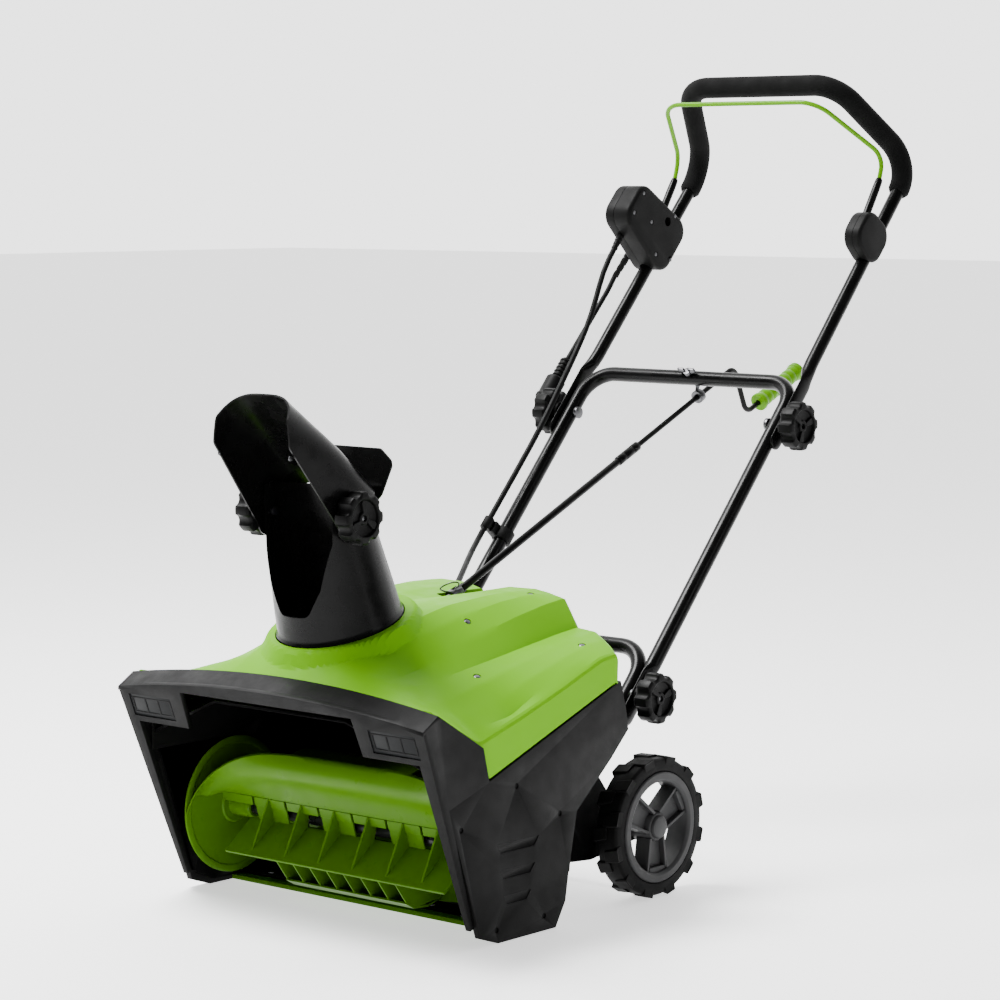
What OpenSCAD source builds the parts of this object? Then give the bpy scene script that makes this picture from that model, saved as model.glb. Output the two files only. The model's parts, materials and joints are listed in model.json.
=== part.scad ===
// Walk-behind snow thrower with a 508 mm clearing width, a tilted discharge
// chute turned by a hand crank, and a two-stage fold-forward handle.
// Millimetres. X runs across the machine, -Y is the front, +Z is up.
// y values below are measured from the front corners of the mouth, and
// place() moves them so that the origin is the middle of the footprint.

/* [Body] */
// Clear width between the inner walls of the mouth
clear_w = 508; // [480:4:540]
// Thickness of the moulded walls
wall = 4; // [3:0.5:4]
// Thickness of the top cover
cover_wall = 3; // [2.5:0.5:4]

/* [Auger] */
// Radius swept by the paddles
auger_r = 97; // [90:1:98]
// Diameter of the auger shaft
auger_shaft_d = 20; // [16:1:22]

/* [Wheels] */
// Radius of a wheel over its lugs
wheel_r = 97; // [90:1:97]
// Width of a tyre
tyre_w = 38; // [30:1:38]
// Number of lugs on each side of a tyre
lug_count = 12; // [8:1:16]

/* [Chute] */
// Forward lean of the chute's turning axis, in degrees
chute_lean = 17; // [15:0.5:19]
// Radius of the chute where it meets the cover
chute_r = 84; // [80:1:85]

/* [Handles] */
// Tube diameter of the lower handle and the rear hoop
lower_tube_d = 22; // [20:1:22]
// Tube diameter of the upper handle
upper_tube_d = 20; // [18:1:20]
// Diameter of the foam grip
grip_d = 32; // [28:1:36]
// Diameter of a clamping knob
knob_d = 70; // [60:1:70]
// Number of lobes on a knob
knob_lobes = 8; // [6:1:10]

/* [Controls] */
// Diameter of the bail wire
bail_d = 7; // [5:1:8]
// Diameter of the supply cable
cable_d = 8.5; // [7:0.5:9]
// Diameter of the crank rod
crank_d = 8; // [7:1:8]

/* [Hidden] */

// Colours
cover_green = "#98e02c";
rotor_green = "#7fc428";
shell_black = "#2b2b2c";
tube_black = "#161617";
rubber_black = "#1e1e1e";
hub_grey = "#48484a";
lens_grey = "#55585a";
steel_grey = "#9a9da0";
board_green = "#2f5d3a";

// Frame
y_mid = 583.9;
inner_x = clear_w / 2;
wall_x = inner_x + wall;
skin_in = wall_x + 0.6;
skin_out = wall_x + 10;
bezel_x = wall_x + 18;

// Places of the main axes, as [y, z]
auger_at = [187, 110];
axle_at = [491.7, 97];
motor_at = [338, 252];
mid_at = [854, 619.4];
lower_pivot_t = -478;
handle_rise = 48;
ring_at = [143, 391];
pivot_at = [84.5, 539.5];
front_lean = 21.1;
eye_at = [922, 649];
joint_at = [376, 407];
rod_rise = 23.9;

// Fits
run_gap = 0.1;
clear_gap = 0.4;

// ---- helpers ----------------------------------------------------------

module place() translate([0, -y_mid, 0]) children();

// Both sides of the machine
module both() {
    children();
    mirror([1, 0, 0]) children();
}

// An outline of [y, z] points extruded across the machine
module slab(points, x0, x1)
    translate([x0, 0, 0]) rotate([90, 0, 90]) linear_extrude(x1 - x0) polygon(points);

// A round bar along X
module rod_x(at, d, x0, x1, fn = 48)
    translate([x0, at[0], at[1]]) rotate([0, 90, 0]) cylinder(d = d, h = x1 - x0, $fn = fn);

// The plane of the handles: X across, Y along the tubes, Z forward of them
module handle_frame() translate([0, mid_at[0], mid_at[1]]) rotate([handle_rise, 0, 0]) children();

// The chute's own axis, with Z up along it and Y towards the back
module chute_frame() translate([0, ring_at[0], ring_at[1]]) rotate([chute_lean, 0, 0]) children();

// The sloping front plane, with Y up the slope and Z out of the front
module front_frame() translate([0, 0, 294]) rotate([90 + front_lean, 0, 0]) children();

// The crank's rod, with Z along it from the joint towards the grip
module rod_frame() translate([0, joint_at[0], joint_at[1]]) rotate([rod_rise - 90, 0, 0]) children();

function unit(v) = v / norm(v);
function turn_angle(p, i) = acos(max(-1, min(1, unit(p[i] - p[i - 1]) * unit(p[i + 1] - p[i]))));
function inset_at(p, i, r) = (i == 0 || i == len(p) - 1) ? 0 : r * tan(turn_angle(p, i) / 2);

// A round bar of diameter d between two points
module bar(a, b, d, fn = 32) {
    v = b - a;
    translate(a) rotate([0, acos(v[2] / norm(v)), atan2(v[1], v[0])])
        cylinder(d = d, h = norm(v), $fn = fn);
}

// How far a straight runs into each bend or ball, and how much fatter that bend is
lap = 1;
swell = 0.1;
function set_back(p, i, r) = (i == 0 || i == len(p) - 1) ? 0 : inset_at(p, i, r) - lap;

// A round bar that follows points, with bends of radius r
module bent_bar(p, d, r, fn = 32) {
    for (i = [0 : len(p) - 2])
        bar(p[i] + unit(p[i + 1] - p[i]) * set_back(p, i, r),
            p[i + 1] - unit(p[i + 1] - p[i]) * set_back(p, i + 1, r), d, fn);
    for (i = [1 : len(p) - 2]) {
        along = unit(p[i] - p[i - 1]);
        normal = unit(cross(along, unit(p[i + 1] - p[i])));
        out = cross(along, normal);
        centre = p[i] - along * inset_at(p, i, r) - out * r;
        multmatrix([[out[0], along[0], normal[0], centre[0]],
                    [out[1], along[1], normal[1], centre[1]],
                    [out[2], along[2], normal[2], centre[2]],
                    [0, 0, 0, 1]])
            rotate_extrude(angle = turn_angle(p, i), $fn = 48)
                translate([r, 0]) circle(d = d + swell, $fn = fn);
    }
}

// A soft round cord through hand-laid points, with a ball at each change of direction
module cord(p, d) {
    for (i = [0 : len(p) - 2])
        bar(p[i] + (i == 0 ? 0 : lap) * unit(p[i + 1] - p[i]),
            p[i + 1] - (i == len(p) - 2 ? 0 : lap) * unit(p[i + 1] - p[i]), d, 24);
    for (i = [1 : len(p) - 2]) translate(p[i]) sphere(d = d + 0.8, $fn = 24);
}

// ---- body outlines, as [y, z] --------------------------------------------

bezel_side = [[0, 294], [28, 311], [118, 258], [132, 212], [55, 187], [116, 12], [148, 0.6], [105, 22]];
cover_side = [[55.6, 186], [131.6, 211], [400.6, 309], [412, 270], [417, 242], [381, 208], [309, 148],
    [292, 68], [286, 33], [266, 0.4], [151, 0.4], [117, 12]];
cover_side_inset = [[68, 180], [131, 202], [394, 297], [403, 268], [407, 246], [375, 215], [300, 153],
    [283, 70], [277, 40], [262, 13], [153, 13], [126, 20]];
wall_side = [[20, 290], [116, 250], [130, 212], [396, 306], [404, 270], [408, 244], [378, 210],
    [304, 150], [287, 68], [281, 37], [263, 8], [154, 8], [116, 26], [60, 190]];
rear_shell = [[424, 345], [424, 300], [412, 245], [378, 210],
    [304, 150], [296, 150], [296, 154], [375, 214], [407, 247], [419, 300], [419, 345]];
rear_shell_side = [[404, 304], [408, 245], [378, 210], [304, 150], [297, 150],
    [297, 154], [375, 214], [404, 247], [400, 304]];
arm_side = [[286, 140], [300, 152], [380, 212], [430, 150], [500, 118], [511, 106], [512, 88],
    [500, 76], [395, 62], [300, 70]];

// Height of the bezel's arched edge above its corners
arch_rise = 21;
arch_r = (bezel_x * bezel_x + arch_rise * arch_rise) / (2 * arch_rise);
function arch(x) = sqrt(arch_r * arch_r - x * x) - arch_r + arch_rise;
arch_steps = [-12 : 12];

// ---- auger housing -------------------------------------------------------

// The throat's plate, and the wall that turns the snow up into it
module throat_plate() {
    chute_frame() difference() {
        translate([0, 104, 0]) rotate([90, 0, 0]) linear_extrude(246)
            polygon([[-wall_x, -130], [-118, -68], [118, -68], [wall_x, -130],
                     [wall_x, -126], [118, -64], [-118, -64], [-wall_x, -126]]);
        translate([0, 0, -70]) cylinder(r = 76, h = 8, $fn = 96);
    }
    slab([[258, 350], [258, 358], [266, 360], [300, 148], [292, 142]], -140, 140);
    both() slab([[269, 302], [273, 303], [300, 148], [292, 142]], 139, wall_x);
}

// The round trough behind the auger
module trough() {
    difference() {
        rod_x(auger_at, 2 * (auger_r + 7 + wall), -inner_x - 1, inner_x + 1, 96);
        rod_x(auger_at, 2 * (auger_r + 7), -inner_x - 2, inner_x + 2, 96);
        slab([[241, -20], [241, 60], [187, 110], [300, 143], [330, 240], [-100, 240], [-100, -20]],
            -inner_x - 3, inner_x + 3);
    }
}

// An arm that carries the axle, and the boss at its end
module wheel_arm() {
    slab(arm_side, 212, 222);
    rod_x(axle_at, 44, 208, 225);
    slab([[286, 140], [300, 152], [318, 150], [306, 66], [292, 70]], 218, wall_x);
}

// A socket that takes one leg of the rear hoop
module hoop_socket() {
    handle_frame() translate([172, -652, 0]) rotate([-90, 0, 0]) cylinder(d = 36, h = 72, $fn = 48);
    slab([[300, 160], [376, 214], [440, 190], [436, 150], [395, 122], [304, 110]], 166, 178);
}

module auger_housing() color(shell_black) place() difference() {
    union() {
        both() slab(wall_side, inner_x, wall_x);
        throat_plate();
        trough();
        slab([[204, 9.3], [246, 9.3], [256, 20], [253, 24], [238, 13.3], [204, 13.3]], -inner_x - 1, inner_x + 1);
        slab(rear_shell, -168, 168);
        both() slab(rear_shell_side, 167, wall_x);
        both() wheel_arm();
        both() hoop_socket();
        rod_x(motor_at, 40, 244, wall_x);
        slab([[330, 202], [346, 202], [346, 168], [322, 160], [318, 190]], 110, 226);
    }
    rod_x(auger_at, 42, -wall_x - 1, wall_x + 1, 64);
    rod_x(motor_at, 14, 200, wall_x + 1);
    rod_x(axle_at, 12, -240, 240);
    both() handle_frame() translate([172, -646, 0]) rotate([-90, 0, 0])
        cylinder(d = lower_tube_d, h = 80, $fn = 48);
    chute_frame() translate([-16, 96, -64.2]) cube([32, 24, 30]);
    scraper_holes(9, 5);
}

// ---- bezel and lamps -------------------------------------------------------

lamp_x = 219;
lamp_w = 80;
lamp_h = 33;
lamp_drop = 25;
frame_thick = 7.5;

// The arched outline of the frame, in the sloping front plane
function slope_of(z) = (z - 294) / cos(front_lean);
frame_outline = concat(
    [for (i = arch_steps) [i * bezel_x / 12, slope_of(294 + arch(i * bezel_x / 12))]],
    [[262, -290], [inner_x, -290], [inner_x, slope_of(247)], [158, slope_of(247)], [155, slope_of(298)],
     [-155, slope_of(298)], [-158, slope_of(247)], [-inner_x, slope_of(247)], [-inner_x, -290], [-262, -290]]);

// The strip of the hood between the arched front edge and the cover
module brow() {
    outline = concat(
        [for (i = arch_steps) [i * bezel_x / 12, arch(i * bezel_x / 12)]],
        [for (i = arch_steps) [-i * bezel_x / 12, arch(i * bezel_x / 12) - 5]]);
    translate([0, 0, 294]) multmatrix([[1, 0, 0, 0], [0, 0, 1, 0], [0, 1, 0.607, 0], [0, 0, 0, 1]])
        linear_extrude(28) polygon(outline);
}

module front_bezel() color(shell_black) place() difference() {
    union() {
        front_frame() translate([0, 0, -frame_thick]) linear_extrude(frame_thick) polygon(frame_outline);
        brow();
        intersection() {
            both() slab(bezel_side, skin_in, bezel_x);
            front_frame() translate([0, 0, -200]) linear_extrude(220)
                polygon([[-bezel_x, 60], [bezel_x, 60], [bezel_x, 0], [262, -290], [-262, -290], [-bezel_x, 0]]);
        }
    }
    both() front_frame() translate([lamp_x - lamp_w / 2, -lamp_h - lamp_drop + 16, -12])
        cube([lamp_w, lamp_h, 14]);
}

// One lamp: a lens with three cells
module lamp(x) place() front_frame() color(lens_grey)
    translate([x, -lamp_h / 2 - lamp_drop + 16, 0]) difference() {
        translate([-lamp_w / 2, -lamp_h / 2, -8]) cube([lamp_w, lamp_h, 6.5]);
        for (i = [-1 : 1]) translate([i * 24 - 9, -10, -9]) cube([18, 20, 3]);
    }

module lamp_left() lamp(-lamp_x);
module lamp_right() lamp(lamp_x);

// The light-emitting boards behind the two lenses
module lamp_board() color(board_green) place() front_frame() both()
    translate([lamp_x - 36, -lamp_h - lamp_drop + 20, -10]) cube([72, 25, 1.6]);

// ---- top cover -----------------------------------------------------------

// Stations across the cover, and its height over each at stations along it
cover_x = [0, 40, 86, 110, 138, 165, 200, 230, 250, 262];
cover_y = [28, 60, 116, 140, 199, 260, 340, 400, 440];
cover_z = [
    [329, 329, 327, 325, 322, 319, 316, 315, 315, 315],
    [352, 351, 347, 341, 334, 327, 317, 308, 302, 297],
    [376, 375, 371, 357, 338, 328, 309, 290, 275, 266],
    [385, 384, 380, 364, 341, 329, 312, 294, 281, 273],
    [402, 402, 398, 383, 360, 337, 324, 303, 287, 289],
    [407, 409, 409, 397, 374, 345, 337, 325, 313, 307],
    [405, 412, 414, 408, 391, 356, 352, 345, 337, 330],
    [403, 412, 414, 411, 401, 364, 361, 356, 350, 346],
    [402, 412, 413, 410, 405, 368, 366, 360, 353, 348]];
// How far the rear edge comes forward at each station across
cover_rear = [0, 0, 0, 1, 4, 8, 13, 32, 42, 50];

cover_cols = [for (i = [-9 : 9]) i];
function cover_point(row, i, drop) = let (k = abs(i)) [
    sign(i) * cover_x[k],
    cover_y[row] - cover_rear[k] * pow((cover_y[row] - 28) / 412, 3),
    cover_z[row][k] - drop];
function cover_layer(drop) = [for (row = [0 : 8]) for (i = cover_cols) cover_point(row, i, drop)];

module cover_skin() {
    n = len(cover_cols);
    m = len(cover_y);
    layer = n * m;
    top = [for (r = [0 : m - 2]) for (c = [0 : n - 2])
        [r * n + c, (r + 1) * n + c, (r + 1) * n + c + 1, r * n + c + 1]];
    bottom = [for (f = top) [f[3] + layer, f[2] + layer, f[1] + layer, f[0] + layer]];
    front = [for (c = [0 : n - 2]) [c, c + 1, c + 1 + layer, c + layer]];
    back = [for (c = [0 : n - 2]) let (k = (m - 1) * n + c) [k + 1, k, k + layer, k + 1 + layer]];
    left = [for (r = [0 : m - 2]) [(r + 1) * n, r * n, r * n + layer, (r + 1) * n + layer]];
    right = [for (r = [0 : m - 2]) let (k = r * n + n - 1) [k, k + n, k + n + layer, k + layer]];
    polyhedron(concat(cover_layer(0), cover_layer(cover_wall)),
        concat(top, bottom, front, back, left, right));
}

module top_cover() color(cover_green) place() difference() {
    union() {
        cover_skin();
        both() slab([[118.6, 263.2], [132.4, 214], [400.8, 310.6], [390, 345.2]], 259, skin_out - 3);
        // Rear curtain
        slab([[426, 400], [436, 400], [429, 352], [427, 352]], -130, 130);
        both() slab([[427, 411], [436, 410.5], [436, 399], [426, 399]], 36, 96);
    }
    handle_frame() bar(gland_start - 5 * gland_way, gland_end + 5 * gland_way, gland_d);
    chute_frame() translate([0, 0, -80]) cylinder(r = chute_r + 4, h = 160, $fn = 96);
    translate([-13, 345, 360]) cube([26, 120, 60]);
}

// ---- side covers, scraper and screws --------------------------------------

belt_screws = [[187, 199], [274, 150], [80, 158], [148, 18], [242, 20]];

// A drive-side cover: a hollow skin with three louvres and screw holes
module side_cover() difference() {
    slab(cover_side, skin_in, skin_out);
    slab(cover_side_inset, skin_in - 1, skin_out - 3);
    for (i = [0 : 2])
        slab([[150 + 6 * i, 128 - 34 * i], [232 - 8 * i, 128 - 34 * i], [222 - 8 * i, 116 - 34 * i],
              [156 + 6 * i, 116 - 34 * i]], skin_out - 1.2, skin_out + 1);
    for (at = belt_screws) rod_x(at, 8, skin_out - 2, skin_out + 1, 24);
}

module side_cover_right() color(shell_black) place() side_cover();
module side_cover_left() color(shell_black) place() mirror([1, 0, 0]) side_cover();

scraper_screw_x = [-200 : 100 : 200];
scraper_screw_y = 214;
module scraper_holes(z, h) for (x = scraper_screw_x)
    translate([x, scraper_screw_y, z]) cylinder(d = 6, h = h, $fn = 24);

module scraper_bar() color(rotor_green) place() difference() {
    slab([[186, 3], [188, 9], [236, 9], [240, 5], [240, 3]], -252, 252);
    scraper_holes(2, 8);
}

module scraper_screws() color(steel_grey) place()
    for (x = scraper_screw_x) translate([x, scraper_screw_y, 0]) {
        translate([0, 0, 4]) cylinder(d = 6, h = 9.3, $fn = 24);
        translate([0, 0, 13.3]) cylinder(d = 11, h = 2.2, $fn = 24);
    }

// ---- drive ---------------------------------------------------------------

module motor() color(steel_grey) place() difference() {
    union() {
        rod_x(motor_at, 84, 110, 226, 64);
        rod_x(motor_at, 30, 226, 244);
        rod_x(motor_at, 40, 98, 110);
    }
    rod_x(motor_at, 10.4, 104, 250);
    rod_x(motor_at, 62, 116, 220, 64);
}

module motor_spindle() color(steel_grey) place() {
    rod_x(motor_at, 10.2, 106, 265);
    rod_x(motor_at, 56, 126, 210, 64);
    rod_x(motor_at, 14, 259.6, 264.6);
}

belt_ratio = 6;
module auger_pulley() color(shell_black) place() difference() {
    rod_x(auger_at, 14 * belt_ratio, 259.6, 264.6, 64);
    rod_x(auger_at, auger_shaft_d - run_gap, 250, 270);
}

// A point at angle a on a circle of radius r round c
function rim(c, r, a) = [c[0] + r * cos(a), c[1] + r * sin(a)];

// The belt: one open loop round both pulleys, clear of them by a thin gap
module drive_belt() color(rubber_black) place() {
    big = 7 * belt_ratio + 0.5;
    small = 7.5;
    thick = 2.5;
    v = motor_at - auger_at;
    tilt = atan2(v[1], v[0]);
    lean = acos((big - small) / norm(v));
    difference() {
        slab([rim(auger_at, big + thick, tilt + lean), rim(motor_at, small + thick, tilt + lean),
              rim(motor_at, small + thick, tilt), rim(motor_at, small + thick, tilt - lean),
              rim(auger_at, big + thick, tilt - lean), rim(auger_at, big + thick, tilt + 180)], 260, 264);
        slab([rim(auger_at, big, tilt + lean), rim(motor_at, small, tilt + lean),
              rim(motor_at, small, tilt - lean), rim(auger_at, big, tilt - lean)], 259, 265);
        rod_x(auger_at, 2 * big, 259, 265, 64);
        rod_x(motor_at, 2 * small, 259, 265);
    }
    difference() {
        rod_x(auger_at, 2 * (big + thick), 260, 264, 64);
        rod_x(auger_at, 2 * big, 259, 265, 64);
        slab([rim(auger_at, 0, 0), rim(auger_at, 90, tilt + lean), rim(motor_at, 60, tilt),
              rim(auger_at, 90, tilt - lean)], 258, 266);
    }
    difference() {
        rod_x(motor_at, 2 * (small + thick), 260, 264);
        rod_x(motor_at, 2 * small, 259, 265);
        slab([rim(motor_at, 0, 0), rim(motor_at, 40, tilt + lean), rim(motor_at, 60, tilt + 180),
              rim(motor_at, 40, tilt - lean)], 258, 266);
    }
}

module control_board() color(board_green) place()
    translate([-190, 312, 262]) rotate([12, 0, 0]) {
        cube([110, 62, 1.6]);
        translate([12, 12, 1.6]) cube([30, 34, 16]);
        translate([60, 16, 1.6]) cylinder(d = 22, h = 28, $fn = 32);
    }

// A ball bearing in a side wall
module bearing(x0) color(steel_grey) place() difference() {
    rod_x(auger_at, 42, x0, x0 + 7.5, 64);
    rod_x(auger_at, auger_shaft_d, x0 - 1, x0 + 9);
}

module bearing_left() bearing(-wall_x);
module bearing_right() bearing(wall_x - 7.5);

// ---- auger ---------------------------------------------------------------

module auger_shaft() color(steel_grey) place()
    rod_x(auger_at, auger_shaft_d - run_gap, -wall_x, skin_out - 3.4);

paddle_steps = 8;
paddle_twist = 70;
rib_count = 6;

// One sweeping paddle from an end disc to the middle
module paddle_half(phase) {
    step = (inner_x - 9) / paddle_steps;
    for (i = [0 : paddle_steps - 1])
        rotate([phase + paddle_twist * (i + 0.5) / paddle_steps, 0, 0])
            translate([(inner_x - 9) - (i + 1) * step - 0.5, 6, -6]) cube([step + 1, auger_r - 8, 12]);
}

// A fluted rib that stiffens the paddles
module rib(x) translate([x - 2, 0, 0]) rotate([0, 90, 0]) cylinder(r = auger_r - 22, h = 4, $fn = 64);

module auger_rotor() color(rotor_green) place() difference() {
    translate([0, auger_at[0], auger_at[1]]) union() {
        for (phase = [120, 300]) {
            paddle_half(phase);
            mirror([1, 0, 0]) paddle_half(phase);
        }
        for (x = [-inner_x + 7, inner_x - 11])
            translate([x, 0, 0]) rotate([0, 90, 0]) cylinder(r = auger_r - 2, h = 4, $fn = 96);
        rotate([0, 90, 0]) translate([0, 0, -inner_x + 8])
            cylinder(d = auger_shaft_d + 10, h = 2 * inner_x - 16, $fn = 48);
        difference() {
            for (i = [1 : rib_count]) rib((i - (rib_count + 1) / 2) * 72);
            rotate([20, 0, 0]) translate([-300, -120, 14]) cube([600, 240, 200]);
        }
    }
    rod_x(auger_at, auger_shaft_d - run_gap, -300, 300);
}

// ---- wheels --------------------------------------------------------------

rim_r = 75.5;
wheel_in = 226;
wheel_out = wheel_in + tyre_w;

module tyre() {
    difference() {
        rod_x(axle_at, 2 * (wheel_r - 5), wheel_in, wheel_out, 96);
        rod_x(axle_at, 2 * rim_r, wheel_in - 1, wheel_out + 1, 96);
    }
    for (i = [0 : lug_count - 1]) translate([0, axle_at[0], axle_at[1]]) {
        rotate([i * 360 / lug_count, 0, 0])
            translate([wheel_in, -9, rim_r + 6]) cube([tyre_w * 0.55, 18, wheel_r - rim_r - 6]);
        rotate([(i + 0.5) * 360 / lug_count, 0, 0])
            translate([wheel_out - tyre_w * 0.55, -9, rim_r + 6]) cube([tyre_w * 0.55, 18, wheel_r - rim_r - 6]);
    }
}

module hub() difference() {
    union() {
        difference() {
            rod_x(axle_at, 2 * rim_r, wheel_in + 2, wheel_out + 2, 96);
            rod_x(axle_at, 2 * (rim_r - 10), wheel_in + 1, wheel_out + 3, 96);
        }
        for (i = [0 : 2]) translate([wheel_in + 8, axle_at[0], axle_at[1]]) rotate([i * 120, 0, 0])
            translate([0, -13, -rim_r + 5]) cube([tyre_w - 14, 26, rim_r - 14]);
        rod_x(axle_at, 40, wheel_in + 1, wheel_out - 2);
    }
    rod_x(axle_at, 12 + run_gap, wheel_in - 1, wheel_out + 3);
    for (i = [0 : 2]) translate([wheel_out - 10, axle_at[0], axle_at[1]]) rotate([i * 120, 0, 0])
        translate([0, -8, -rim_r + 14]) cube([10, 16, rim_r - 38]);
}

module hub_cap() rod_x(axle_at, 26, wheel_out - 1.9, wheel_out + 2);

module wheel_axle() color(steel_grey) place() {
    rod_x(axle_at, 12, -wheel_out + 2.3, wheel_out - 2.3);
}

module tyre_right() color(rubber_black) place() tyre();
module tyre_left() color(rubber_black) place() mirror([1, 0, 0]) tyre();
module hub_right() color(hub_grey) place() hub();
module hub_left() color(hub_grey) place() mirror([1, 0, 0]) hub();
module hub_cap_right() color(hub_grey) place() hub_cap();
module hub_cap_left() color(hub_grey) place() mirror([1, 0, 0]) hub_cap();

// ---- hoop and lower handle -------------------------------------------------

hoop_x = 172;
lower_x = 191;
upper_x = 199;
plate_x = 205.4;

module rear_hoop() color(tube_black) place() handle_frame() difference() {
    bent_bar([[-hoop_x, -646, 0], [-hoop_x, -401, 0], [hoop_x, -401, 0], [hoop_x, -646, 0]],
        lower_tube_d, 50);
    both() translate([150, lower_pivot_t, 0]) rotate([0, 90, 0]) cylinder(d = 8, h = 50, $fn = 32);
}

module lower_handle() color(tube_black) place() handle_frame() difference() {
    union() {
        bent_bar([[-lower_x, -430, 0], [-lower_x, 77, 0], [lower_x, 77, 0], [lower_x, -430, 0]],
            lower_tube_d, 45);
        both() {
            translate([lower_x - 4, -512, -14]) cube([8, 89, 28]);
            translate([lower_x - 4, -512, 0]) rotate([0, 90, 0]) cylinder(d = 28, h = 8, $fn = 48);
        }
    }
    both() {
        translate([150, lower_pivot_t, 0]) rotate([0, 90, 0]) cylinder(d = 8, h = 80, $fn = 32);
        translate([150, 0, 0]) rotate([0, 90, 0]) cylinder(d = 8, h = 80, $fn = 32);
    }
    translate([0, 77, -20]) cylinder(d = 6, h = 40, $fn = 32);
}

// A carriage bolt along X, in the handle's own plane
module cross_bolt(t, x0, x1) translate([x0, t, 0]) rotate([0, 90, 0]) {
    cylinder(d = 8, h = x1 - x0, $fn = 32);
    translate([0, 0, -5]) cylinder(d = 18, h = 5, $fn = 32);
}

module lower_bolts() color(steel_grey) place() handle_frame() both() {
    cross_bolt(lower_pivot_t, hoop_x - 11, 230);
    translate([hoop_x + 11, lower_pivot_t, 0]) rotate([0, 90, 0]) difference() {
        cylinder(d = 18, h = 4, $fn = 32);
        translate([0, 0, -1]) cylinder(d = 8, h = 6, $fn = 32);
    }
}

module mid_bolts() color(steel_grey) place() handle_frame() both() cross_bolt(0, lower_x - 11, 234);

// How far up the handle the crossbar is that carries the eye
eye_t = 77;

// The eye that guides the crank rod, its bolt through the crossbar and its wing nut
module crank_eye() color(steel_grey) place() {
    difference() {
        union() {
            rod_frame() translate([0, 0, norm(eye_at - joint_at) - 5]) cylinder(d = 20, h = 10, $fn = 48);
            handle_frame() {
                bar([0, 69.5, -23.5], [0, eye_t, -19], 5.9);
                translate([0, eye_t, -19]) sphere(d = 6.6, $fn = 24);
                translate([0, eye_t, -18]) cylinder(d = 5.9, h = 32, $fn = 32);
            }
        }
        rod_frame() cylinder(d = crank_d + 1, h = 700, $fn = 48);
    }
    handle_frame() translate([0, eye_t, 11.2]) {
        cylinder(d = 12, h = 6, $fn = 32);
        both() translate([4, -1.5, 2]) cube([11, 3, 9]);
    }
}

// ---- knobs ---------------------------------------------------------------

knob_thick = 25;

// A lobed knob: the neck starts at x = 0 and the face is at the far end
module knob(neck, bolt_d) rotate([0, 90, 0]) difference() {
    union() {
        cylinder(d = 30, h = neck + 2, $fn = 48);
        translate([0, 0, neck]) cylinder(d = knob_d, h = knob_thick, $fn = 64);
    }
    for (i = [0 : knob_lobes - 1]) rotate([0, 0, (i + 0.5) * 360 / knob_lobes])
        translate([knob_d / 2 + 5, 0, neck - 1]) cylinder(d = 20, h = knob_thick + 2, $fn = 32);
    translate([0, 0, neck + knob_thick - 4]) cylinder(d = knob_d - 22, h = 5, $fn = 48);
    translate([0, 0, -1]) cylinder(d = bolt_d + 0.2, h = neck + knob_thick + 2, $fn = 32);
}

lower_knob_x = 195.4;
mid_knob_x = 208.8;
chute_knob_x = 76.4;

module knob_on_handle(t, x, neck) color(tube_black) place() handle_frame()
    translate([x, t, 0]) knob(neck, 8);

module knob_lower_right() knob_on_handle(lower_pivot_t, lower_knob_x, 14);
module knob_lower_left() mirror([1, 0, 0]) knob_on_handle(lower_pivot_t, lower_knob_x, 14);
module knob_mid_right() knob_on_handle(0, mid_knob_x, 8);
module knob_mid_left() mirror([1, 0, 0]) knob_on_handle(0, mid_knob_x, 8);

module chute_knob() color(tube_black) place()
    translate([chute_knob_x, pivot_at[0], pivot_at[1]]) knob(1, 6);
module knob_chute_right() chute_knob();
module knob_chute_left() mirror([1, 0, 0]) chute_knob();

// ---- chute ---------------------------------------------------------------

skirt_r = 80;
chute_h = 196;
top_r = 66;
gear_r = 94;
tooth_count = 48;

function chute_r_at(h) = chute_r - (chute_r - top_r) * h / chute_h;

module chute() color(tube_black) place() {
    difference() {
        turret();
        // The rim slopes back under the deflector, and two bolts cross it
        slab([[-60, 612], [60, 580], [164, 552], [240, 532], [240, 700], [-60, 700]], -120, 120);
        rod_x(pivot_at, 6, -90, 90, 32);
    }
    // The guard that rises behind the deflector, and the step it stands on
    translate([0, 160, 0]) rotate([90, 0, 0]) linear_extrude(3)
        polygon([[-52, 552], [52, 552], [62, 562], [80, 600], [79, 608], [60, 623],
                 [-60, 623], [-79, 608], [-80, 600], [-62, 562]]);
    slab([[157, 558], [166, 546], [161, 542], [153, 553]], -40, 40);
}

// The turning column: skirt, toothed flange, collar and tapered tube
module turret() {
    chute_frame() difference() {
        union() {
            translate([0, 0, -62]) cylinder(r = skirt_r, h = 63, $fn = 96);
            cylinder(r1 = chute_r, r2 = top_r, h = chute_h, $fn = 96);
            translate([0, 0, -1]) cylinder(r = chute_r + 2, h = 4, $fn = 96);
            translate([0, 0, -40]) cylinder(r = gear_r, h = 4, $fn = 96);
            for (i = [0 : tooth_count - 1]) rotate([0, 0, i * 360 / tooth_count])
                translate([84, -1.6, -43]) cube([9, 3.2, 4]);
        }
        translate([0, 0, -63]) cylinder(r = skirt_r - 3, h = 64, $fn = 96);
        cylinder(r1 = chute_r - 3, r2 = top_r - 3, h = chute_h + 1, $fn = 96);
        // The tall opening at the front
        translate([0, 0, 40]) rotate([90, 0, 0]) linear_extrude(200)
            polygon([[-24, 0], [24, 0], [44, 34], [60, 90], [64, 170], [-64, 170], [-60, 90], [-44, 34]]);
    }
}

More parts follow.
